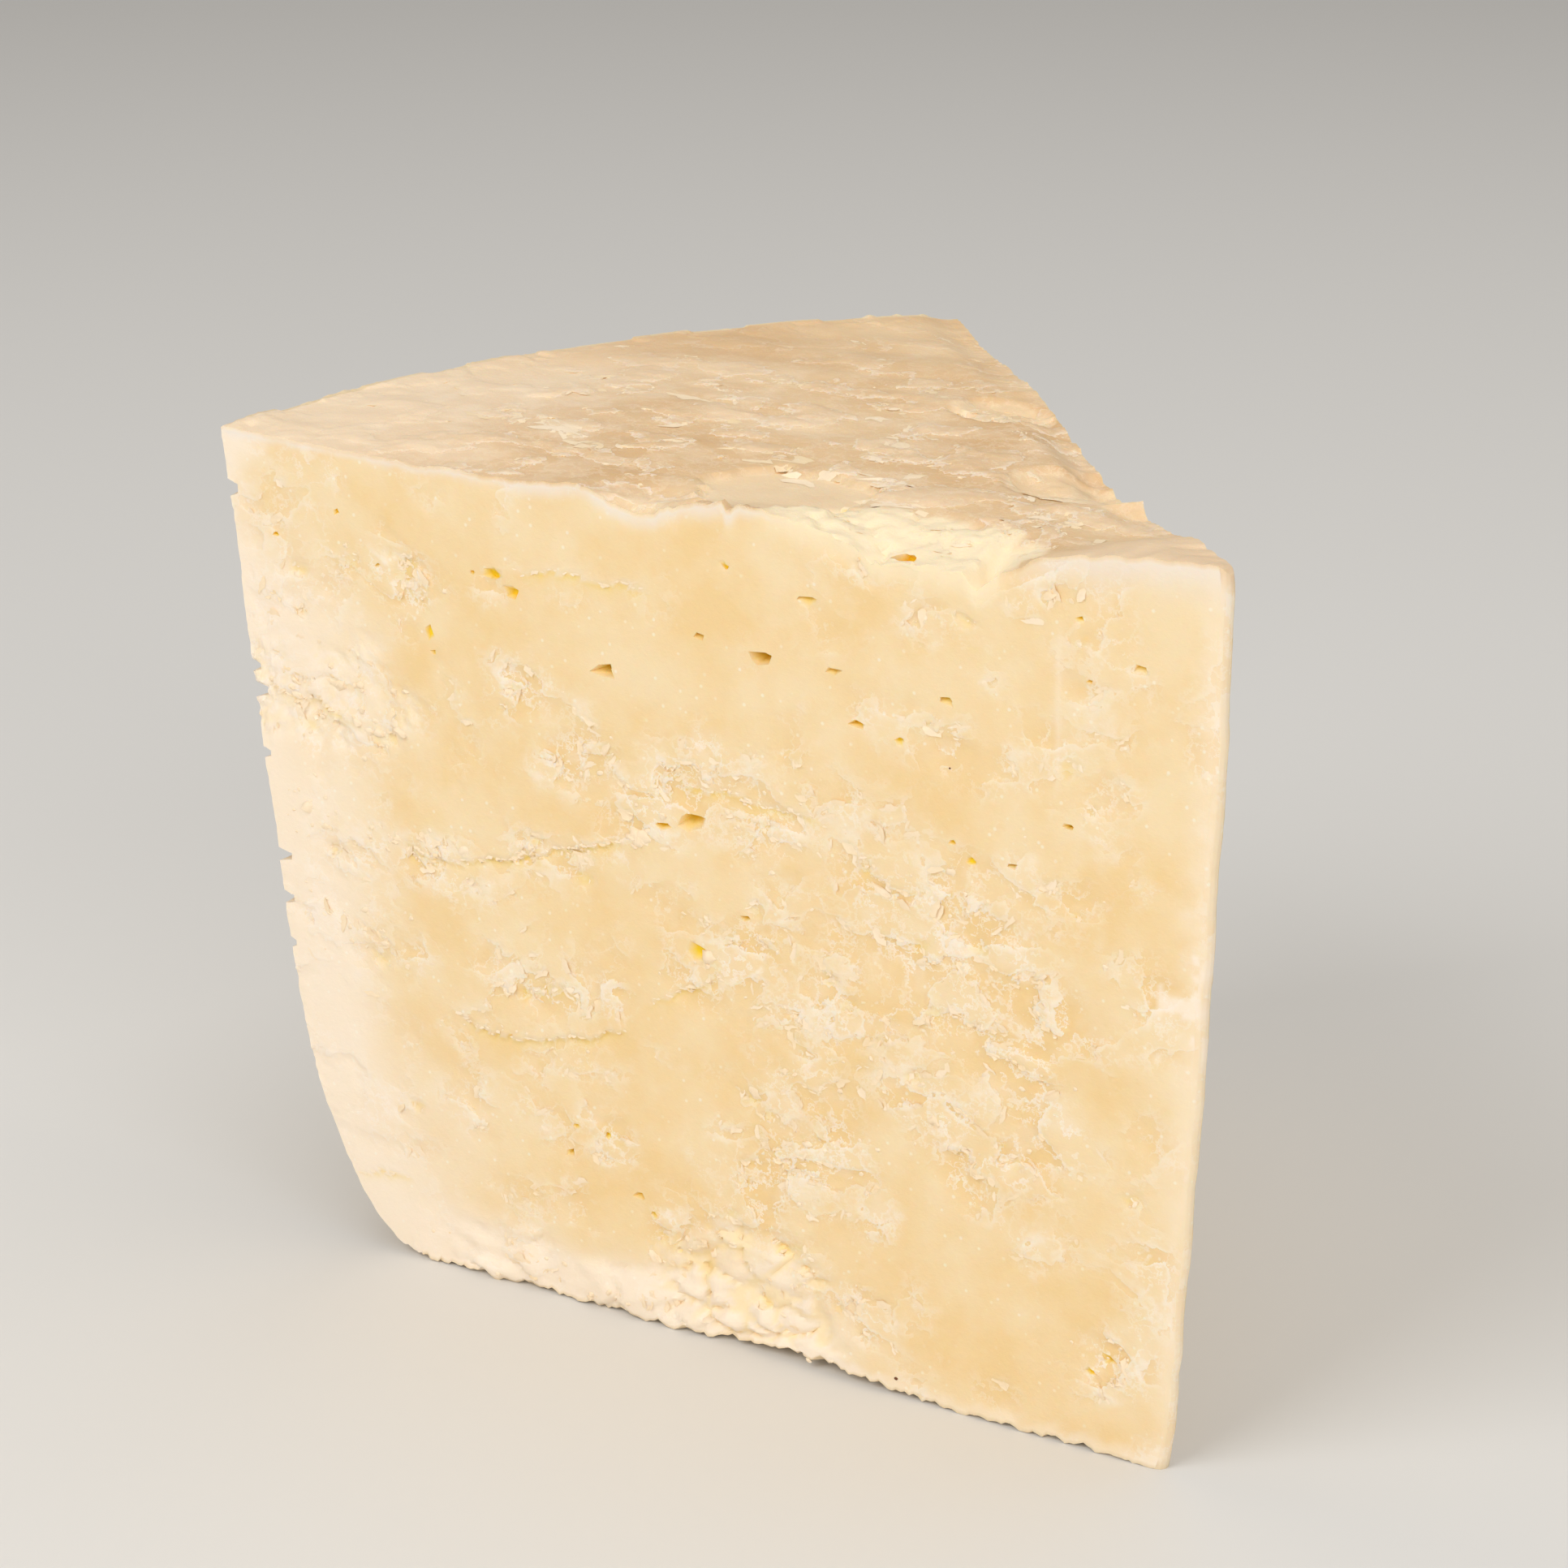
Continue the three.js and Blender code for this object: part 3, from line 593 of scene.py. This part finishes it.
for vertex in chunk.data.vertices:
    co = vertex.co.copy()
    up = co.z
    tip = -co.x
    into_front = -(co - tip_foot).dot(front_normal)
    into_back = -(co - tip_foot).dot(back_normal)
    from_axis = (co - WHEEL_AXIS).xy.length
    into_rind = drum_radius(up) - from_axis
    from_tip = (co - tip_foot - tip_way * (up / HEIGHT)).xy.length
    moved = co.copy()
    white = painted_amber_shade = dry = fresh = rind = torn = skin = 0.0
    film = -1.0
    # Paler towards the rind and, away from the tip, towards the foot.
    wide = 28 + 10 * (1 - ramp(25, 60, up)) - 14 * ramp(95, 108, up)
    margin = 1 - ramp(2, wide, into_rind + 9 * clouds(co.x + co.y, up, 22, 2, 121.0))
    low = 1 - ramp(1, 15, up + 6 * clouds(co.x + co.y, up, 15, 2, 123.0))
    pale = max(margin, 0.95 * low * ramp(35, 60, tip))
    # The front cut, whiter at the tip and at the foot.
    if into_front < EDGE:
        height, white, painted_amber_shade, torn = front_surface(tip, up)
        film = film_field(tip, up)
        moved += front_normal * height * ramp(2, 9, from_tip) * (1 - max(0, into_front) / EDGE)
        white += 0.45 * (1 - ramp(2.5, 7, from_tip + 1.5 * clouds(tip, up, 5, 3, 125.0)))
        white += 0.6 * (1 - ramp(0.4, 3.0, up + 1.2 * clouds(tip, up, 2.5, 2, 133.0)))
    # The back cut and the rind.
    if into_back < EDGE:
        out = (co - tip_foot).dot(back_way)
        height, torn = back_surface(out, up)
        film = back_film(out, up)
        moved += back_normal * height * ramp(4, 14, out) * (1 - max(0, into_back) / EDGE)
    if into_rind < EDGE and up > 1:
        turn = math.atan2(co.y - WHEEL_AXIS.y, WHEEL_AXIS.x - co.x) * WHEEL_RADIUS
        way = (co - WHEEL_AXIS).xy.to_3d() / from_axis
        moved += way * rind_relief(turn, up) * (1 - max(0, into_rind) / EDGE)
    # The top, with a pale skin just below its front edge.
    if up > TOP_START:
        height, flaky_and_painted_light, broken, dried = top_surface(co.x, co.y)
        moved.z += height * ramp(TOP_START, HEIGHT, up)
        if up > HEIGHT - 0.5:
            dry = 1.0
            white = flaky_and_painted_light
            torn = dried
            pale = 0.0
            film = plate_field(co.x, co.y)
        elif into_front < 1:
            strong = max(1 - ramp(18, 26, tip), ramp(54, 62, tip))
            reach = 1.6 + 1.2 * ramp(56, 70, tip) * (1 - ramp(95, 110, tip)) + 3.6 * (1 - ramp(20, 30, tip))
            skin = 0.85 * strong * (1 - ramp(0.2, reach, HEIGHT - up + 0.7 * clouds(tip, up, 5, 2, 127.0)))
        fresh = broken * ramp(HEIGHT - 5, HEIGHT, up)
    # The tip bulges, wavers, and is bruised white at the middle of its height.
    moved.x += TIP_BULGE * math.sqrt(max(0.0, math.sin(math.pi * up / HEIGHT))) * (1 - ramp(0, 28, from_tip))
    moved.x += 0.45 * clouds(up, 3, 11, 4, 129.0) * (1 - ramp(0, 10, from_tip)) * ramp(0, 6, up)
    if from_tip < 8 and 56 < up < 74:
        white += 0.9 * ramp(0.0, 0.3, clouds(tip, up, 5, 3, 131.0) + 0.3 - abs(up - 66) / 14)
    # Small teeth along the foot's edge, and a gap where it broke away higher.
    from_edge = math.hypot(up, min(into_front, into_back))
    if from_edge < TOOTH_REACH:
        teeth = 0.4 + 0.9 * clouds(tip, co.y, 2.2, 3, 111.0) + 0.5 * clouds(tip, co.y, 9, 2, 113.0)
        gap = FOOT_GAP_HEIGHT * math.exp(-((tip - FOOT_GAP_AT) / FOOT_GAP_WIDTH) ** 2)
        teeth = max(0.0, teeth) + gap
        moved.z += teeth * (1 - from_edge / TOOTH_REACH) * ramp(2, 9, from_tip)
    # Painted amber shade inside the eyes, deeper in, where their hollows lie in shade; there they are not
    # white or pale.
    deep = min(into_front, into_back, HEIGHT - up)
    if deep > 0.1 and up > 1 and into_rind > 5 and from_tip > 6:
        painted_amber_shade = max(painted_amber_shade, ramp(0.05, 0.5, deep))
        white = torn = 0.0
        pale *= 0.15
    if into_rind < 0.7 and into_front > 0.7 and into_back > 0.7 or up < 0.3:
        rind = 1.0
    vertex.co = moved
    found = (min(1, white + pale), min(1, painted_amber_shade), dry, fresh, rind, torn, film, skin)
    for name, value in zip(MARKS, found):
        marks[name].append(value)
for name, values in marks.items():
    set_mark(chunk.data, name, values)
chunk.data.transform(TO_FRAME)
take_up(chunk)
bpy.ops.object.shade_smooth_by_angle(angle=math.radians(50))

# The paste: pale gold, with white crystals, paler and whiter where it is dry or torn, and painted amber
# shade in holes, creases, under seams and under flakes, standing in for the shade there and the light that
# comes through the paste.
# The top has dried to tan under pale plates, with broad patches of painted shade.
paste = bpy.data.materials.new("paste")
paste.use_nodes = True
nodes = paste.node_tree.nodes
links = paste.node_tree.links
shader = nodes["Principled BSDF"]
where = nodes.new("ShaderNodeTexCoord")


def tint(red, green, blue):
    """A colour as seen on a screen, 0 to 255, as the shader takes it."""
    def linear(value):
        value /= 255
        return value / 12.92 if value <= 0.04045 else ((value + 0.055) / 1.055) ** 2.4
    return (linear(red), linear(green), linear(blue), 1)


def mark_of(name):
    """A mark that the vertices carry."""
    node = nodes.new("ShaderNodeAttribute")
    node.attribute_name = name
    return node.outputs["Fac"]


def cloud(size, detail=3.0, rough=0.55):
    """Noise from 0 to 1 whose lumps are so many millimetres wide."""
    node = nodes.new("ShaderNodeTexNoise")
    node.inputs["Scale"].default_value = 1000 / size
    node.inputs["Detail"].default_value = detail
    node.inputs["Roughness"].default_value = rough
    links.new(where.outputs["Object"], node.inputs["Vector"])
    return node.outputs["Fac"]


def stretch(value, low, high, to_low=0.0, to_high=1.0):
    """A value's range from low to high, stretched to another and cut off there."""
    node = nodes.new("ShaderNodeMapRange")
    node.inputs["From Min"].default_value = low
    node.inputs["From Max"].default_value = high
    node.inputs["To Min"].default_value = to_low
    node.inputs["To Max"].default_value = to_high
    links.new(value, node.inputs["Value"])
    return node.outputs["Result"]


def feed(socket, value):
    """Links a socket to a value of another node, or sets it to a number or colour."""
    if isinstance(value, bpy.types.NodeSocket):
        links.new(value, socket)
    else:
        socket.default_value = value


def reckon(operation, first, second):
    """Two values, or a value and a number, put together."""
    node = nodes.new("ShaderNodeMath")
    node.operation = operation
    feed(node.inputs[0], first)
    feed(node.inputs[1], second)
    return node.outputs[0]


def blend(share, first, second):
    """The first colour, with so much of the second over it."""
    node = nodes.new("ShaderNodeMix")
    node.data_type = "RGBA"
    feed(node.inputs[0], share)
    feed(node.inputs[6], first)
    feed(node.inputs[7], second)
    return node.outputs[2]


torn = mark_of("torn")
white = mark_of("white")
mottle = cloud(10, 4, 0.55)
ragged = reckon("ADD", mark_of("film"), stretch(cloud(1.0, 4, 0.65), 0.25, 0.75, -0.12, 0.12))
bared = reckon("MULTIPLY", stretch(ragged, 0.0, 0.03), torn)


def torn_edge(field, width):
    """White along the edge of a film, where its field is just below 0, fading out over a width."""
    inside = stretch(reckon("DIVIDE", reckon("ADD", field, width), width), 0.0, 1.0)
    return reckon("MULTIPLY", reckon("MULTIPLY", inside, stretch(field, 0.03, 0.0)), torn)


lip = torn_edge(ragged, stretch(cloud(5, 3), 0.35, 0.65, 0.05, 0.4))
scrap = reckon("MULTIPLY", reckon("SUBTRACT", 0.5, cloud(3.6, 5, 0.66)), 2.0)
fleck = torn_edge(scrap, stretch(cloud(4, 3), 0.4, 0.65, 0.02, 0.22))
CRYSTAL_SPACING = 2.0
speck = nodes.new("ShaderNodeTexVoronoi")
speck.inputs["Scale"].default_value = 1000 / CRYSTAL_SPACING
links.new(where.outputs["Object"], speck.inputs["Vector"])
dot = stretch(speck.outputs["Distance"], 0.16, 0.08)
crystal = reckon("MULTIPLY", dot, stretch(mottle, 0.4, 0.55, 0.2, 1.0))

paste_colour = blend(stretch(mottle, 0.34, 0.66), tint(244, 212, 156), tint(248, 223, 180))
paste_colour = blend(reckon("MULTIPLY", torn, 0.35), paste_colour, tint(252, 230, 196))
paste_colour = blend(reckon("MULTIPLY", bared, 0.75), paste_colour, tint(242, 206, 143))
paste_colour = blend(reckon("MULTIPLY", white, 0.85), paste_colour, tint(255, 238, 217))
edges = reckon("MAXIMUM", lip, fleck)
paste_colour = blend(reckon("MULTIPLY", edges, 0.85), paste_colour, tint(255, 241, 224))
paste_colour = blend(reckon("MULTIPLY", crystal, 0.5), paste_colour, tint(255, 247, 230))
# Broad darker and lighter patches over the top: painted shade standing in for the shading of its gentle
# hollows and ridges.
broad_painted_shade = stretch(cloud(26, 4, 0.55), 0.38, 0.62)
top_colour = blend(broad_painted_shade, tint(223, 184, 135), tint(237, 205, 161))
plate_colour = blend(broad_painted_shade, tint(228, 193, 148), tint(239, 209, 170))
top_lip = torn_edge(ragged, stretch(cloud(5, 3), 0.4, 0.7, 0.03, 0.22))
top_colour = blend(reckon("MULTIPLY", stretch(ragged, 0.03, 0.0), torn), top_colour, plate_colour)
top_colour = blend(reckon("MULTIPLY", fleck, 0.4), top_colour, tint(250, 228, 198))
top_colour = blend(reckon("MULTIPLY", top_lip, 0.7), top_colour, tint(253, 236, 216))
top_colour = blend(white, top_colour, tint(252, 228, 196))
colour = blend(mark_of("dry"), paste_colour, top_colour)
colour = blend(mark_of("fresh"), colour, tint(255, 233, 196))
colour = blend(mark_of("skin"), colour, tint(243, 232, 218))
rind_colour = blend(stretch(cloud(16, 4, 0.6), 0.3, 0.7), tint(229, 203, 162), tint(238, 216, 180))
rind_colour = blend(stretch(cloud(1.6, 4, 0.6), 0.55, 0.72, 0.0, 0.5), rind_colour, tint(212, 182, 138))
colour = blend(mark_of("rind"), colour, rind_colour)
# Painted amber shade and glow, wherever the marks put shade.
colour = blend(mark_of("painted_amber_shade"), colour, tint(255, 216, 40))
links.new(colour, shader.inputs["Base Color"])
links.new(stretch(cloud(0.9, 3), 0.3, 0.7, 0.42, 0.62), shader.inputs["Roughness"])
shader.inputs["Specular IOR Level"].default_value = 0.35
links.new(stretch(white, 0.0, 1.0, 0.3, 0.08), shader.inputs["Subsurface Weight"])
shader.inputs["Subsurface Radius"].default_value = (1.0, 0.55, 0.22)
shader.inputs["Subsurface Scale"].default_value = 0.0012
grain = reckon("MULTIPLY", cloud(0.8, 3, 0.65), 0.3)
grain = reckon("SUBTRACT", grain, reckon("MULTIPLY", bared, 0.22))
bump = nodes.new("ShaderNodeBump")
bump.inputs["Strength"].default_value = 0.45
bump.inputs["Distance"].default_value = 0.0006
links.new(grain, bump.inputs["Height"])
links.new(bump.outputs["Normal"], shader.inputs["Normal"])
chunk.data.materials.clear()
chunk.data.materials.append(paste)
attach(chunk, "root")
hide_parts("cheese_chunk")

# The flakes
# Thin scales of paste that the blade lifted along the edges of the torn films, and dried plates on the
# top. Each is grown to the chunk at its back, where it is sunk in, and stands off at its free edge.
FRONT_FLAKES = 1500
BACK_FLAKES = 500
TOP_FLAKES = 520
TONGUE_TRIES = 400
EYE_CLEARANCE = 0.8
RAISED_SHEET = (-34, 29, 5.5)
TOP_PLATES = (
    (-106, 22, 6.5), (-98, 17, 5), (-76, 26, 7), (-66, 22, 6), (-55, 25, 7), (-50, 15, 6), (-100, 47, 5),
    (-75, 52, 6), (-85, 37, 5), (-92, 60, 4), (-64, 40, 5), (-70, 66, 5), (-88, 78, 4),
)
flake_points = []
flake_faces = []
flake_white = []
flake_painted_amber_shade = []


def lay_flake(place, surface, middle, toward, size, lift, white=0.3, overhang=0.25):
    """Adds a flake: place makes a point of the chunk, surface gives the relief, toward is its free side."""
    count = 7 + int(size * 3)
    base = len(flake_points)
    level = surface(*middle)
    whiteness = white + draw.uniform(-0.2, 0.2)
    for ring in (0.0, 0.55, 1.0):
        for k in range(count if ring else 1):
            angle = math.tau * k / count
            reach = ring * size * (draw.uniform(0.45, 1.0) if ring == 1 else 0.8)
            ahead = 0.7 * reach * math.cos(angle)
            aside = 1.15 * reach * math.sin(angle)
            spot = (middle[0] + toward[0] * ahead - toward[1] * aside,
                    middle[1] + toward[1] * ahead + toward[0] * aside)
            free = ramp(-0.3, 0.7, ahead / size)
            under = surface(*spot)
            height = under + min(overhang, max(under, level) - under) * free + lift * free - 0.05
            if ring == 1:
                height += draw.uniform(-0.05, 0.0)
            flake_points.append(place(*spot, height))
            flake_white.append(min(1.0, whiteness + 0.35 * free * ring))
            # Painted amber shade on the flake: a little on its rim, most at the sunk point under it.
            flake_painted_amber_shade.append(0.1 if ring == 1 else 0.0)
    flake_points.append(place(*middle, level - 0.6))
    flake_white.append(0.0)
    flake_painted_amber_shade.append(0.7)
    inner = base + 1
    outer = inner + count
    for k in range(count):
        after = (k + 1) % count
        flake_faces.append((base, inner + k, inner + after))
        flake_faces.append((inner + k, outer + k, outer + after, inner + after))
        flake_faces.append((outer + k, base + 1 + 2 * count, outer + after))


def uphill(field, a, b):
    """The way in which a field rises at a place."""
    way = Vector((field(a + 0.3, b) - field(a - 0.3, b), field(a, b + 0.3) - field(a, b - 0.3)))
    return way.normalized() if way.length > 1e-6 else Vector((0, -1))


def over_eye(tip, up):
    """Whether a flake there would cover an eye."""
    return any(
        abs(tip - at) < width + EYE_CLEARANCE and abs(up - height) < tall + EYE_CLEARANCE
        for at, height, width, tall in EYES
    )


def front_height(tip, up):
    """Relief of the front cut alone."""
    return front_surface(tip, up)[0]


def back_height(out, up):
    """Relief of the back cut alone."""
    return back_surface(out, up)[0]


def flake_size(largest):
    """Most flakes are small."""
    return min(largest, 0.5 * math.exp(draw.gauss(0.25, 0.55)))


laid = 0
while laid < FRONT_FLAKES:
    tip = draw.uniform(6, 143)
    up = draw.uniform(2, 117)
    torn_here = torn_share(tip, up)
    if torn_here < 0.3 or abs(film_field(tip, up)) > 0.04 + 0.1 * torn_here * draw.random():
        continue
    in_crag = math.hypot((tip - CRAG_AT[0]) / CRAG_REACH[0], (up - CRAG_AT[1]) / CRAG_REACH[1]) < 1
    by_rind = tip > drum_radius(up) - 26
    if (in_crag or by_rind) and draw.random() < 0.6:
        continue
    if tip > rind_at(up) - 3 or over_eye(tip, up):
        continue
    size = flake_size(1.7)
    lift = draw.uniform(0.03, 0.14) + 0.03 * size
    lay_flake(front_point, front_height, (tip, up), uphill(film_field, tip, up), size, lift, white=0.5)
    laid += 1
for line in SEAMS:
    tip = line[0][0] - 2
    while tip > line[-1][0]:
        place_on = (tip, seam_height(line, tip) + draw.uniform(0.1, 0.5))
        toward = Vector((draw.uniform(-0.3, 0.3), -1))
        size = draw.uniform(0.35, 0.8)
        lift = draw.uniform(0.02, 0.1)
        lay_flake(front_point, front_height, place_on, toward, size, lift, white=0.6)
        tip -= draw.uniform(0.4, 1.4)
for at, height, radius, _ in plucks:
    for _ in range(draw.randint(3, 7)):
        angle = draw.uniform(0, math.tau)
        inward = Vector((-math.cos(angle), -math.sin(angle)))
        reach = radius * draw.uniform(0.5, 1.2)
        place_on = (at + 1.4 * reach * math.cos(angle), height + reach * math.sin(angle))
        if not over_eye(*place_on):
            size = draw.uniform(0.25, 0.8)
            lift = draw.uniform(0.04, 0.16)
            lay_flake(front_point, front_height, place_on, inward, size, lift, white=0.6)
laid = 0
while laid < BACK_FLAKES:
    out = draw.uniform(12, 138)
    up = draw.uniform(4, 115)
    if back_surface(out, up)[1] < 0.4 or abs(back_film(out, up)) > 0.06:
        continue
    if out > drum_radius(up) - 6:
        continue
    size = flake_size(3)
    lift = draw.uniform(0.05, 0.2)
    lay_flake(back_point, back_height, (out, up), uphill(back_film, out, up), size, lift)
    laid += 1


def top_point(x, y, out):
    """A point of the top's plane, or so far above it."""
    return Vector((x, y, HEIGHT + out))


def top_height(x, y):
    """Relief of the top alone."""
    return top_surface(x, y)[0]


def on_top(x, y):
    """Whether a place lies well inside the top."""
    turn = math.atan2(y - WHEEL_AXIS.y, WHEEL_AXIS.x - x)
    from_axis = wheel_distance(x, y)
    return 26 < from_axis < WHEEL_RADIUS - 4 and 4 / from_axis < turn < WEDGE_ANGLE - 4 / from_axis


laid = 0
while laid < TOP_FLAKES:
    x = draw.uniform(-140, -15)
    y = draw.uniform(0, 105)
    if not on_top(x, y) or top_surface(x, y)[3] < 0.3 or abs(plate_field(x, y)) > 0.05:
        continue
    toward = uphill(plate_field, x, y)
    size = flake_size(2.6) * 1.2
    lift = draw.uniform(0.03, 0.09)
    lay_flake(top_point, top_height, (x, y), toward, size, lift, white=0.4, overhang=0.12)
    laid += 1
for _ in range(TONGUE_TRIES):
    x = TONGUE_AT[0] + TONGUE_REACH[0] * draw.uniform(-1.5, 1.5)
    y = TONGUE_AT[1] + TONGUE_REACH[1] * draw.uniform(-0.2, 1.5)
    if on_top(x, y) and 0.1 < tongue_share(x, y) < 0.9:
        size = draw.uniform(0.5, 1.8)
        lift = draw.uniform(0.03, 0.12)
        lay_flake(top_point, top_height, (x, y), uphill(tongue_share, x, y), size, lift, white=0.4)
for x, y, size in TOP_PLATES:
    toward = Vector((draw.uniform(-0.6, 0.6), -1)).normalized()
    lay_flake(top_point, top_height, (x, y), toward, size, 0.04, white=0.4, overhang=0.08)
x, y, size = RAISED_SHEET
lay_flake(top_point, top_height, (x, y), Vector((0.3, -1)).normalized(), size, 0.2, white=0.4)
flake_mesh = bpy.data.meshes.new("cheese_flakes")
flake_mesh.from_pydata(flake_points, [], flake_faces)
flakes = bpy.data.objects.new("cheese_flakes", flake_mesh)
bpy.context.collection.objects.link(flakes)
face_outwards(flakes)
set_mark(flake_mesh, "white", flake_white)
set_mark(flake_mesh, "painted_amber_shade", flake_painted_amber_shade)
flake_mesh.transform(TO_FRAME)
bpy.ops.object.shade_smooth_by_angle(angle=math.radians(40))
thin_paste = paste.copy()
thin_paste.name = "thin_paste"
thin_weight = thin_paste.node_tree.nodes["Principled BSDF"].inputs["Subsurface Weight"]
thin_paste.node_tree.links.remove(thin_weight.links[0])
thin_weight.default_value = 0.0
flake_mesh.materials.append(thin_paste)
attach(flakes, "root")

# The crumbs
# Grains of curd that broke loose and stuck: in the crag, along the rim at the foot, at the ends of the
# seams and in the torn places. They are white, uneven and half sunk. Two specks of dirt stick too.

# A group of crumbs is given by its middle, half width, half height, count and usual size.
CRUMBS = (
    (120, 64, 7, 2, 16, 0.35), (113, 64, 8, 2, 14, 0.3), (80, 72, 1.2, 0.6, 6, 0.9),
    (99, 39.5, 12, 1.2, 16, 0.25), (64, 10, 13, 8, 12, 0.4), (85, 4, 26, 3, 14, 0.45),
    (130, 83, 10, 5, 34, 0.45), (66, 57, 8, 7, 16, 0.3), (34, 60, 20, 18, 26, 0.28),
    (53, 35, 9, 11, 20, 0.3), (24, 42, 12, 9, 14, 0.28), (72, 80, 24, 7, 20, 0.3),
    (9, 14, 5, 4, 8, 0.3), (130, 50, 10, 4, 26, 0.32), (118, 103, 16, 3, 12, 0.3),
    (135, 67, 5, 5, 18, 0.32),
)
CRUMB_WHITE = 0.6
SPECKS = ((33, 91, 0.17), (40, 2.5, 0.3))
bpy.ops.object.select_all(action="DESELECT")
bpy.ops.mesh.primitive_ico_sphere_add(subdivisions=2, radius=1)
grain_shape = bpy.context.active_object
grain_points = [vertex.co.copy() for vertex in grain_shape.data.vertices]
grain_faces = [tuple(face.vertices) for face in grain_shape.data.polygons]
bpy.data.objects.remove(grain_shape)
crumb_points = []
crumb_faces = []
crumb_white = []
for at, height, half_width, half_height, count, usual in CRUMBS:
    for _ in range(count):
        tip = min(140, max(6, at + half_width * draw.gauss(0, 0.55)))
        up = min(116, max(1.2, height + half_height * draw.gauss(0, 0.55)))
        if tip > rind_at(up) - 2:
            continue
        size = usual * math.exp(draw.gauss(0, 0.4))
        sizes = Vector((
            size * draw.uniform(0.8, 1.5),
            size * draw.uniform(0.5, 0.8),
            size * draw.uniform(0.7, 1.1),
        ))
        middle = front_point(tip, up, front_height(tip, up) - 0.3 * size)
        turn = Matrix.Rotation(draw.uniform(-0.7, 0.7), 3, "Y")
        shift = draw.uniform(0, 100)
        base = len(crumb_points)
        for point in grain_points:
            rough = 1 + 0.65 * noise.noise(point * 2.1 + Vector((shift, 0, 0)))
            crumb_points.append(middle + turn @ (point * sizes * rough))
            crumb_white.append(CRUMB_WHITE)
        crumb_faces += [tuple(base + k for k in face) for face in grain_faces]
clean_faces = len(crumb_faces)
for tip, up, size in SPECKS:
    middle = front_point(tip, up, front_height(tip, up))
    base = len(crumb_points)
    for point in grain_points:
        crumb_points.append(middle + point * Vector((size, 0.4 * size, size * 0.8)))
        crumb_white.append(0.0)
    crumb_faces += [tuple(base + k for k in face) for face in grain_faces]
crumb_mesh = bpy.data.meshes.new("cheese_crumbs")
crumb_mesh.from_pydata(crumb_points, [], crumb_faces)
for face in crumb_mesh.polygons:
    face.material_index = 0 if face.index < clean_faces else 1
set_mark(crumb_mesh, "white", crumb_white)
crumb_mesh.transform(TO_FRAME)
crumbs = bpy.data.objects.new("cheese_crumbs", crumb_mesh)
bpy.context.collection.objects.link(crumbs)
take_up(crumbs)
bpy.ops.object.shade_smooth_by_angle(angle=math.radians(50))


def plain_material(name, colour, roughness):
    """A material of one even colour."""
    material = bpy.data.materials.new(name)
    material.use_nodes = True
    plain_shader = material.node_tree.nodes["Principled BSDF"]
    plain_shader.inputs["Base Color"].default_value = colour
    plain_shader.inputs["Roughness"].default_value = roughness
    return material


crumb_mesh.materials.append(thin_paste)
crumb_mesh.materials.append(plain_material("dark_speck", tint(110, 62, 30), 0.7))
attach(crumbs, "root")

# The floor
# A plain, pale, slightly dull studio table top that the chunk stands on. It reaches well past the view.
bpy.ops.object.select_all(action="DESELECT")
FLOOR_SIZE = 8
bpy.ops.mesh.primitive_plane_add(size=FLOOR_SIZE)
floor = bpy.context.active_object
floor.name = "studio_floor"
floor.data.materials.append(plain_material("pale_floor", tint(226, 224, 220), 0.7))

# The lights
# A large soft box high on the rind's side, a weaker one at the tip's side and the weakest above, all
# aimed at the middle of the chunk, and an even, faintly warm light all round.
LIGHTS = (
    ("key", (-0.45, -1.05, 1.0), 0.9, 9.8),
    ("side", (1.0, -0.75, 0.55), 1.0, 6.2),
    ("above", (0.1, 0.3, 1.3), 1.2, 5.4),
)
LIGHTS_AIM = Vector((0, 0, 0.06))
ROOM_TINT = (1.0, 0.965, 0.92, 1)
ROOM_STRENGTH = 0.34
for name, place, size, power in LIGHTS:
    lamp = bpy.data.lights.new(name, "AREA")
    lamp.size = size
    lamp.energy = power
    holder = bpy.data.objects.new(name, lamp)
    bpy.context.collection.objects.link(holder)
    holder.location = place
    holder.rotation_euler = (LIGHTS_AIM - Vector(place)).to_track_quat("-Z", "Y").to_euler()
world = bpy.data.worlds.new("studio")
world.use_nodes = True
world.node_tree.nodes["Background"].inputs["Color"].default_value = ROOM_TINT
world.node_tree.nodes["Background"].inputs["Strength"].default_value = ROOM_STRENGTH
bpy.context.scene.world = world

# The camera
# Seen from the tip's side of the front cut, 20 degrees down, as the photo was taken.
PITCH = math.radians(19.99)
ROLL = math.radians(0.184)
YAW = math.radians(-30.67)
FOCAL_PIXELS = 4810.7
PHOTO_WIDTH = 1932
SENSOR_WIDTH = 36
STAND = Vector((183.81, -407.37, 256.21))
forward = Vector((math.sin(YAW) * math.cos(PITCH), math.cos(YAW) * math.cos(PITCH), -math.sin(PITCH)))
right = Vector((math.cos(YAW), -math.sin(YAW), 0))
above = right.cross(forward)
rolled_right = math.cos(ROLL) * right + math.sin(ROLL) * above
rolled_up = -math.sin(ROLL) * right + math.cos(ROLL) * above
view = bpy.data.cameras.new("photo_view")
view.sensor_width = SENSOR_WIDTH
view.lens = SENSOR_WIDTH * FOCAL_PIXELS / PHOTO_WIDTH
camera = bpy.data.objects.new("photo_view", view)
bpy.context.collection.objects.link(camera)
facing = Matrix((rolled_right, rolled_up, -forward)).transposed().to_4x4()
camera.matrix_world = Matrix.Translation((STAND + TIP_IN_FRAME) * MM) @ facing
bpy.context.scene.camera = camera
bpy.context.scene.view_settings.view_transform = "Standard"
